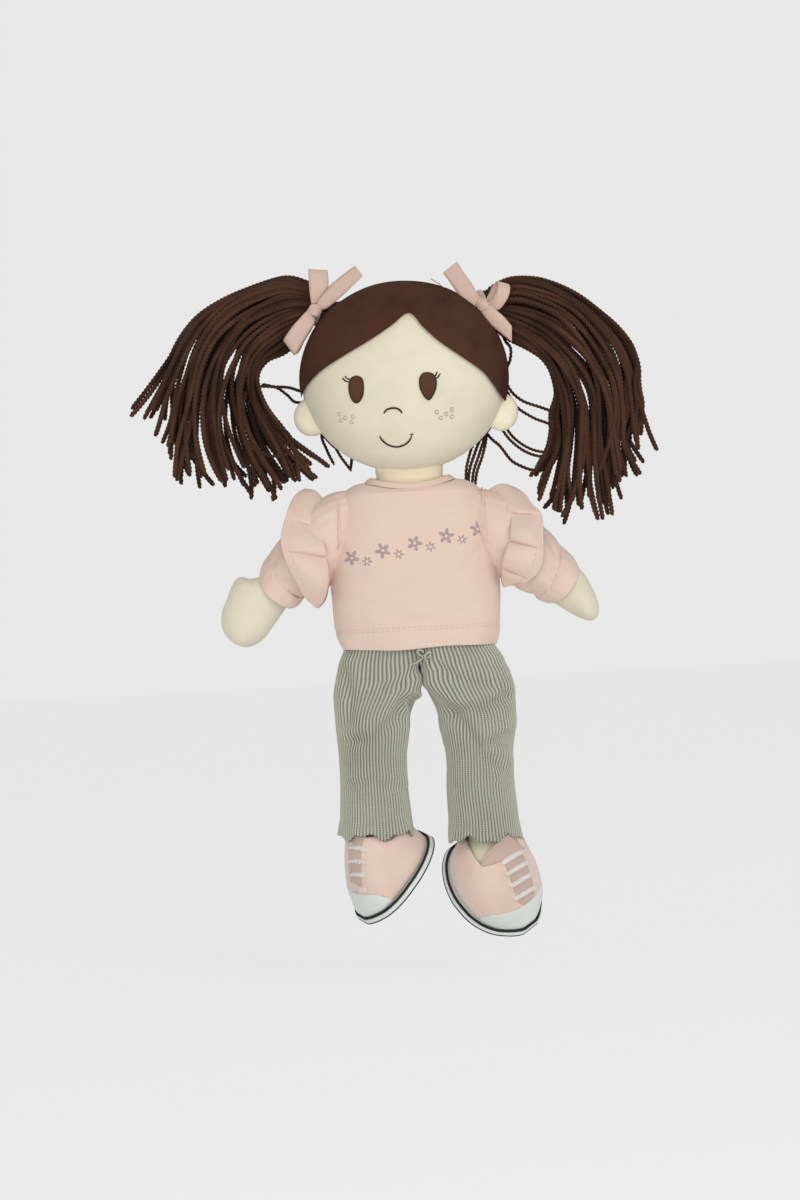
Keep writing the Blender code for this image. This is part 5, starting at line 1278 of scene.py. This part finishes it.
def build_trousers():
    sides, rows = RIBS * 5, 110
    for side, sign in SIDES.items():
        bottom = LEG_BOTTOMS[side] - HEM_DROP
        rings = []
        for row in range(rows + 1):
            height = WAIST + (bottom - WAIST) * row / rows
            near_hem = max(0, (LEG_BOTTOMS[side] - height) / HEM_DROP)
            centre = Vector((leg_section(side, height)[0], 0, height))
            outline = [trouser_point(side, height, math.tau * index / 96) for index in range(97)]
            loop = []
            for angle, point in zip(circle(sides), smooth_path(outline, sides)):
                wave = 1.7 * math.cos(5 * angle * sign + HEM_PHASES[side]) + 0.9 * math.sin(11 * angle + 2)
                out = Vector(((point - centre).x, (point - centre).y, 0)).normalized()
                push = 0.42 * math.cos(RIBS * angle) + near_hem * (1.4 + 0.8 * math.sin(5 * angle * sign + 2))
                push += 0.8 * noise.noise(Vector((point.x, point.y, point.z * 0.6)) * 0.05)
                if point.y < 0:
                    push += leg_crease(side, point) * min(1, -point.y / 9)
                loop.append((point + out * push - Z_AXIS * near_hem * wave) * MM)
            rings.append(loop)
        bm = wrap(rings, capped=False)
        # Lay the map's rib columns over the ribs of the mesh, so that the knit's painted shade falls in their
        # grooves.
        layer = bm.loops.layers.uv.active
        loops = [loop for face in bm.faces for loop in face.loops]
        widest = max(loop[layer].uv.x for loop in loops)
        for loop in loops:
            loop[layer].uv.x *= RIBS / KNIT_ACROSS / widest
        covered = (f"trouser_leg_{side}", f"trouser_hem_{side}")
        covered += ("trouser_seat", "waist_elastic") if side == "right" else ()
        legs = settle(bm, f"trousers_{side}_knit", KNIT, None, covered)
        thicken(legs, 0.9)
        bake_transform(legs)


TIE_LINES = (((423, 657, -24.5), (419, 654, -26), (417.5, 651.5, -26), (421, 650.5, -25.5), (424, 654, -25)),
             ((424, 657, -24.5), (427, 653.5, -26), (430, 652, -26), (429.5, 656, -25.5), (425.5, 658, -25)),
             ((423, 658, -24.5), (419, 660.5, -25.2), (415, 663, -24.6), (411.5, 664.5, -24)),
             ((425, 658.5, -24.5), (427, 662, -25.2), (427.5, 666, -24.4)))
TIE_KNOT = (424, 657, -25.5)


def build_waist_tie():
    """Small bow of cord below the hem of the shirt."""
    lines = [smooth_path([seen(*mark) for mark in line], 16) for line in TIE_LINES]
    parts = [wrap(cord_rings(line, 0.8 * MM, 8, 0.8)) for line in lines]
    knot = seen(*TIE_KNOT)
    rings = []
    for row in range(11):
        latitude = math.radians(88) * (row / 5 - 1)
        reach = max(0.1, math.cos(latitude)) * MM
        rings.append(ring(knot + Z_AXIS * 1.4 * MM * math.sin(latitude), 1.5 * reach, 1.2 * reach, 14))
    settle(join(parts + [wrap(rings)]), "waist_tie_cord", KNIT, "torso", ("waist_tie",))


# Legs and feet
ANKLES = {"right": (-26.2, 0, -102.2), "left": (31.9, 0, -113.0)}
HIP_HEIGHT = -24.3
LIMB_SHARES = ((0.0, 0.92, 0.03), (0.036, 0.95, 0.165), (0.12, 1.0, 0.53), (0.225, 1.0, 0.88),
               (0.34, 0.95, 0.95), (0.62, 0.8, 0.85), (0.86, 0.66, 0.68), (0.95, 0.62, 0.65),
               (1.0, 0.6, 0.62))


def build_leg(side):
    """Stuffed leg down to the ankle, seen only where the trousers end."""
    ankle = mm(*ANKLES[side])
    hip = mm(LEG_CENTRES[side], 0, HIP_HEIGHT)
    rings = []
    for drop, wide, deep in spread(LIMB_SHARES, 40):
        centre = Vector((hip.x + (ankle.x - hip.x) * drop ** 2, 0, hip.z + (ankle.z - hip.z) * drop))
        rings.append(ring(centre, 15.8 * wide * MM, 15 * max(0.02, deep) * MM, 40))
    for step in range(1, 9):
        latitude = math.radians(88) * step / 8
        reach = math.cos(latitude) * MM
        rings.append(ring(ankle - Z_AXIS * 9.3 * MM * math.sin(latitude), 9.4 * reach, 9.3 * reach, 40))
    leg = settle(wrap(rings), f"leg_{side}_plush", ANKLE, f"leg_{side}",
                 (f"leg_skin_{side}", f"leg_stuffing_{side}"))


FOOT_TURNS = {"right": (40, 80, -60), "left": (-39, 76, 30)}
FOOT_SIZES = {"right": 0.94, "left": 1.0}
FOOT_LENGTH, FOOT_HEIGHT, FOOT_WIDTH = 59, 41, 20
FOOT_FLOOR = -26.5
HEEL_SETBACK = 13.0
# Rows along the foot from the heel: shares of its length, half width and height
FOOT_SHARES = ((0.0, 0.2, 0.36), (0.03, 0.42, 0.58), (0.1, 0.66, 0.8), (0.22, 0.86, 0.96), (0.38, 0.98, 1.0),
               (0.51, 1.0, 0.92), (0.62, 1.0, 0.78), (0.75, 0.93, 0.58), (0.86, 0.77, 0.4),
               (0.94, 0.52, 0.24), (0.985, 0.3, 0.14), (1.0, 0.16, 0.09))
FOOT_TABLE = [(min(1, max(0, share)), wide, high) for share, wide, high in spread(FOOT_SHARES, 220)]
# Toe cap: how far ahead its edge lies in the middle, its slant, and how much it falls back towards the sides
CAP_AHEAD, CAP_SLANT, CAP_CURVE = 42.4, 0.314, 0.0150
# Lace panel: its middle, half width and ends; then the bands' middle, half length, slope and places ahead
PANELS = {"right": (4.0, 6.0, 9.0, 38.0), "left": (0.6, 6.6, 8.0, 38.5)}
BANDS_ACROSS = {
    "right": (5.3, 7.4, -0.28, (18.8, 24.9, 30.5, 36.6)),
    "left": (0.4, 8.2, 0.08, (17.2, 22.7, 28.3, 34.2)),
}
# Line of each shoe's collar in the front view, with the notch that shows the ankle, and how far back it runs
COLLARS = {
    "right": ((330, 800), (330, 837), (352, 838), (376, 836.5), (381, 838), (386, 841.8), (391.5, 840.5),
              (397, 834), (404, 829.5), (411, 824.5), (417, 821), (430, 819), (430, 800)),
    "left": ((440, 800), (440, 824), (452, 826), (459, 828.5), (463.5, 835), (468, 846), (474, 857.5),
             (481.3, 865.2), (486, 859), (492, 851), (499, 844), (506, 839.5), (516, 836.5), (523, 835.5),
             (545, 837), (545, 800)),
}
COLLAR_DEPTH = 40
# Edges of the flap beside the notch of the left shoe, in the front view
FLAP_TOP = ((481.5, 864.4), (486, 857), (492, 849.6), (499, 842.8), (506, 837.5), (513, 833.5), (519, 829.8),
            (523.5, 829.4), (526, 833.5))
FLAP_BOTTOM = ((482.5, 866.6), (488, 865.8), (495, 864), (501, 861.8), (507, 859), (513, 856.4), (519, 853),
               (523.5, 849.5), (526.5, 845))
# Sole: how far its edge stands out and its height, from the top down; then the piping cords, with their radii
SOLE_ROWS = ((-3.0, -26.8), (1.5, -26.8), (2.1, -27.2), (2.3, -28.2), (2.1, -29.2), (1.5, -29.8),
             (-3.0, -30.0))
PIPING = ((0.9, -25.9, 0.75), (2.1, -29.5, 0.4))


def foot_frame(side):
    swing, pitch, roll = (math.radians(angle) for angle in FOOT_TURNS[side])
    turn = Matrix.Rotation(swing, 4, "Y") @ Matrix.Rotation(pitch, 4, "X") @ Matrix.Rotation(roll, 4, "Y")
    return Matrix.Translation(mm(*ANKLES[side])) @ turn @ Matrix.Scale(FOOT_SIZES[side], 4)


def foot_half_width(side, share, wide, grow, way):
    """Half width of the foot on one side of its middle, the left foot fuller on its inner side."""
    fuller = 3.8 * math.sin(math.pi * share) if side == "left" and way < 0 else 0.0
    return FOOT_WIDTH * wide + fuller + grow


def foot_reach(share, grow):
    """How far back a row of the foot lies, its ends pushed out as the foot grows."""
    return HEEL_SETBACK - FOOT_LENGTH * share + grow * math.copysign(abs(2 * share - 1) ** 4, 0.5 - share)


def foot_place(side, share, wide, high, angle, grow):
    """Point of the standing foot's skin in its own frame, in millimetres."""
    height = FOOT_HEIGHT * high + 2 * grow
    across, rise = math.cos(angle), math.sin(angle)
    lift = height * (0.4 + 0.6 * rise)
    if rise < 0:
        across = math.copysign(abs(across) ** 0.14, across)
        lift = height * 0.4 * (1 - abs(rise) ** 0.5)
    x = foot_half_width(side, share, wide, grow, across) * across
    return Vector((x, foot_reach(share, grow), FOOT_FLOOR - grow + lift))


def foot_form(side, grow, sides=72):
    """Closed form of the foot, grown outwards by millimetres."""
    shift, turned = X_AXIS * (side == "left"), foot_frame(side)
    rings = []
    for row in FOOT_TABLE[::3]:
        places = [foot_place(side, *row, angle, grow) * MM for angle in circle(sides)]
        rings.append([turned @ (place + wander(place + shift, 60, 0.5 * MM)) for place in places])
    return wrap(rings)


def shoe_skin(side):
    """Search tree of the shoe's outside, for laying pieces on it where the front view shows them."""
    form = foot_form(side, 0.0)
    bmesh.ops.recalc_face_normals(form, faces=form.faces)
    tree = BVHTree.FromBMesh(form)
    form.free()
    return tree


def on_shoe(tree, u, v, lift):
    """Place on a shoe behind a point of the front view, or the nearest one beside its outline."""
    front = seen(u, v, -60)
    way = (seen(u, v, 20) - front).normalized()
    hit, normal, _, _ = tree.ray_cast(front, way)
    if hit is None:
        found = [tree.find_nearest(front + way * step * 2 * MM) for step in range(40)]
        hit, normal = min(found, key=lambda near: near[3])[:2]
    return hit + normal * lift * MM


def over_instep(side, wide, ahead, lift):
    """Place on the upper over the instep, from its distance off the middle and ahead of the ankle."""
    share = (HEEL_SETBACK + ahead) / FOOT_LENGTH
    _, width, high = min(FOOT_TABLE, key=lambda row: abs(row[0] - share))
    ratio = max(-0.98, min(0.98, wide / foot_half_width(side, share, width, 0, wide)))
    return foot_frame(side) @ (foot_place(side, share, width, high, math.acos(ratio), lift) * MM)


def bowed_cut(bm, side, offset, keep_toe):
    """Trim a foot's form along the edge of the toe cap, which bows forwards in the middle."""
    bmesh.ops.transform(bm, matrix=foot_frame(side).inverted(), verts=bm.verts)
    for vert in bm.verts:
        vert.co.y -= CAP_CURVE * (vert.co.x / MM) ** 2 * MM
    slope = Vector((0, 1, CAP_SLANT)).normalized()
    trim(bm, mm(0, -CAP_AHEAD - offset, 0), slope if keep_toe else -slope)
    for vert in bm.verts:
        vert.co.y += CAP_CURVE * (vert.co.x / MM) ** 2 * MM
    bmesh.ops.transform(bm, matrix=foot_frame(side), verts=bm.verts)


def build_foot(side, body):
    foot = foot_form(side, -2.6)
    trim(foot, mm(0, 0, LEG_BOTTOMS[side] - 10.7), Z_AXIS)
    bmesh.ops.holes_fill(foot, edges=[edge for edge in foot.edges if edge.is_boundary], sides=0)
    settle(foot, f"foot_{side}_plush", CREAM, body, (f"foot_{side}",))


def build_upper(side, body, tree):
    """Upper cut open at its collar and its toe, its inside cut away, and given a wall."""
    upper = foot_form(side, 0.0)
    piece = settle(upper, f"shoe_{side}_velour", SHOE, body, (f"shoe_upper_{side}",))
    carve(piece, sight_block("collar_cut", COLLARS[side], -60, COLLAR_DEPTH))
    upper = bmesh.new()
    upper.from_mesh(piece.data)
    inside = [face for face in upper.faces if tree.find_nearest(face.calc_center_median())[3] > 0.25 * MM]
    bmesh.ops.delete(upper, geom=inside, context="FACES")
    bowed_cut(upper, side, 0.0, False)
    upper.to_mesh(piece.data)
    upper.free()
    piece.data.shade_smooth()
    thicken(piece, 1.1)


def build_toe(side, body):
    toe = foot_form(side, 0.25)
    bowed_cut(toe, side, 0.2, True)
    thicken(settle(toe, f"toe_{side}_velour", WHITE, body, (f"toe_cap_{side}",)), 1.1)


def build_tongue(side, body, tree):
    middle, half, start, end = PANELS[side]
    rings = []
    for step in range(33):
        share = step / 32
        ahead = start + (end - start) * share
        breadth = half * min(1, math.sqrt(max(0.05, 1 - max(0, (share - 0.86) / 0.16) ** 2)))
        spots = [middle - breadth + breadth * column / 8 for column in range(17)]
        rings.append([over_instep(side, wide, ahead, 0.3) for wide in spots]
                     + [over_instep(side, wide, ahead, -0.6) for wide in reversed(spots)])
    parts = [wrap(rings)] + ([build_flap(tree)] if side == "left" else [])
    settle(join(parts), f"tongue_{side}_velour", SHOE_SHADE, body, (f"tongue_{side}",))


def build_flap(tree):
    """Soft flap that stands up beside the notch, its free edge rolled over."""
    top = smooth_path([on_shoe(tree, u, v, 0.9) for u, v in FLAP_TOP], 40)
    bottom = smooth_path([on_shoe(tree, u, v, 0.2) for u, v in FLAP_BOTTOM], 40)
    rows = []
    for step in range(13):
        bulge = Y_AXIS * 1.3 * MM * math.sin(math.pi * step / 12)
        rows.append([low.lerp(high, step / 12) - bulge for low, high in zip(bottom, top)])
    bm = wrap(rows, closed=False)
    bmesh.ops.solidify(bm, geom=bm.faces, thickness=0.9 * MM)
    return join([bm, wrap(cord_rings([point + Y_AXIS * 0.2 * MM for point in top], 0.85 * MM, 10))])


def build_laces(side, body):
    middle, half, slope, places = BANDS_ACROSS[side]
    laces = []
    for ahead in places:
        rings = []
        for step in range(29):
            part = step / 14 - 1

            def over(place, lift):
                return over_instep(side, middle + half * place, ahead + slope * half * place, lift)

            low = over(part, 0.65)
            up = (over(part, 1.65) - low).normalized()
            along = (over(part + 0.02, 0.65) - low).normalized()
            size = math.sqrt(max(0.03, 1 - abs(part) ** 10)) * MM
            rings.append(ring(low, 1.5 * size, 0.55 * size, 16, along.cross(up), up))
        laces.append(wrap(rings))
    settle(join(laces), f"laces_{side}_cord", LACE, body, (f"laces_{side}",))


def sole_line(side, grow, height, count=120):
    """Outline of the foot's sole, grown outwards, at a height of the standing foot."""
    near, far = [], []
    for share, wide, _ in FOOT_TABLE[::4]:
        reach = foot_reach(share, grow)
        near.append(mm(foot_half_width(side, share, wide, grow, 1), reach, height))
        far.append(mm(-foot_half_width(side, share, wide, grow, -1), reach, height))
    loop, turned = near + far[::-1], foot_frame(side)
    return [turned @ point for point in smooth_path(loop + loop[:1], count)[:-1]]


def build_sole(side, body):
    band_of_sole = wrap([sole_line(side, grow, height) for grow, height in SOLE_ROWS])
    settle(band_of_sole, f"sole_{side}_band", WHITE, body, (f"sole_{side}",))
    up = foot_frame(side).to_3x3() @ Z_AXIS
    cords = [loop_tube(sole_line(side, grow, height), radius * FOOT_SIZES[side] * MM, 10, up)
             for grow, height, radius in PIPING]
    settle(join(cords), f"sole_{side}_piping", DARK_LINE, body, (f"sole_piping_{side}",))


def build_shoe(side):
    body = f"foot_{side}"
    tree = shoe_skin(side)
    build_foot(side, body)
    build_upper(side, body, tree)
    build_toe(side, body)
    build_tongue(side, body, tree)
    build_laces(side, body)
    build_sole(side, body)


# Stage

PALE = tint(232, 232, 232)
LAMPS = (("key", (0.9, -1.3, 0.75), 0.7, 5.0), ("fill", (-0.2, -1.55, -0.02), 0.9, 8.3))
AIM = Vector((0, 0, 0.02))


def shown_to_camera(tree, share, lit, plain, output):
    """The plain shader where the camera looks straight at it, by a share, and the lit one elsewhere."""
    sight = add(tree, "ShaderNodeLightPath").outputs["Is Camera Ray"]
    factor = reckon(tree, "MULTIPLY", sight, share)
    mix = add(tree, "ShaderNodeMixShader", {0: factor, 1: lit.outputs[0], 2: plain.outputs[0]})
    tree.links.new(mix.outputs[0], tree.nodes[output].inputs[0])


def place_in_scene(name, data, place, turn):
    holder = bpy.data.objects.new(name, data)
    holder.location = place
    holder.rotation_euler = turn.to_euler()
    bpy.context.collection.objects.link(holder)
    return holder


def build_stage():
    floor = bmesh.new()
    bmesh.ops.create_grid(floor, x_segments=1, y_segments=1, size=6)
    floor = settle(floor, "floor", None, recalc=False)
    floor.location.z = -0.19
    material = bpy.data.materials.new("pale floor")
    material.use_nodes = True
    tree = material.node_tree
    shader = tree.nodes["Principled BSDF"]
    shader.inputs["Base Color"].default_value = tint(250, 250, 250)
    shader.inputs["Roughness"].default_value = 0.9
    glow = add(tree, "ShaderNodeEmission", {"Color": PALE, "Strength": 1.065})
    shown_to_camera(tree, 0.8, shader, glow, "Material Output")
    floor.data.materials.append(material)
    world = bpy.data.worlds.new("studio")
    bpy.context.scene.world = world
    world.use_nodes = True
    tree = world.node_tree
    light = tree.nodes["Background"]
    light.inputs["Color"].default_value = (1, 1, 1, 1)
    light.inputs["Strength"].default_value = 0.54
    back = add(tree, "ShaderNodeBackground", {"Color": PALE, "Strength": 1.0})
    shown_to_camera(tree, 1.0, light, back, "World Output")
    for name, place, size, power in LAMPS:
        lamp = bpy.data.lights.new(name, "AREA")
        lamp.size, lamp.energy = size, power
        place_in_scene(name, lamp, place, (AIM - Vector(place)).to_track_quat("-Z", "Y"))
    camera = bpy.data.cameras.new("camera")
    camera.sensor_fit, camera.sensor_height = "VERTICAL", 36
    camera.lens = camera.sensor_height * EYE_DISTANCE / (VIEW_MARKS_HIGH * MARK)
    turn = Matrix.Rotation(VIEW_ROLL, 4, "Y") @ Matrix.Rotation(math.pi / 2, 4, "X")
    bpy.context.scene.camera = place_in_scene("camera", camera, EYE_POINT, turn)
    bpy.context.scene.view_settings.view_transform = "Standard"


build_head()
build_ears()
build_face()
build_pigtails()
build_neck()
build_bows()
build_shirt()
for side in SIDES:
    build_arm(side)
    build_sleeve(side)
    build_ruffle(side)
    build_leg(side)
    build_shoe(side)
build_trousers()
build_waist_tie()
build_stage()
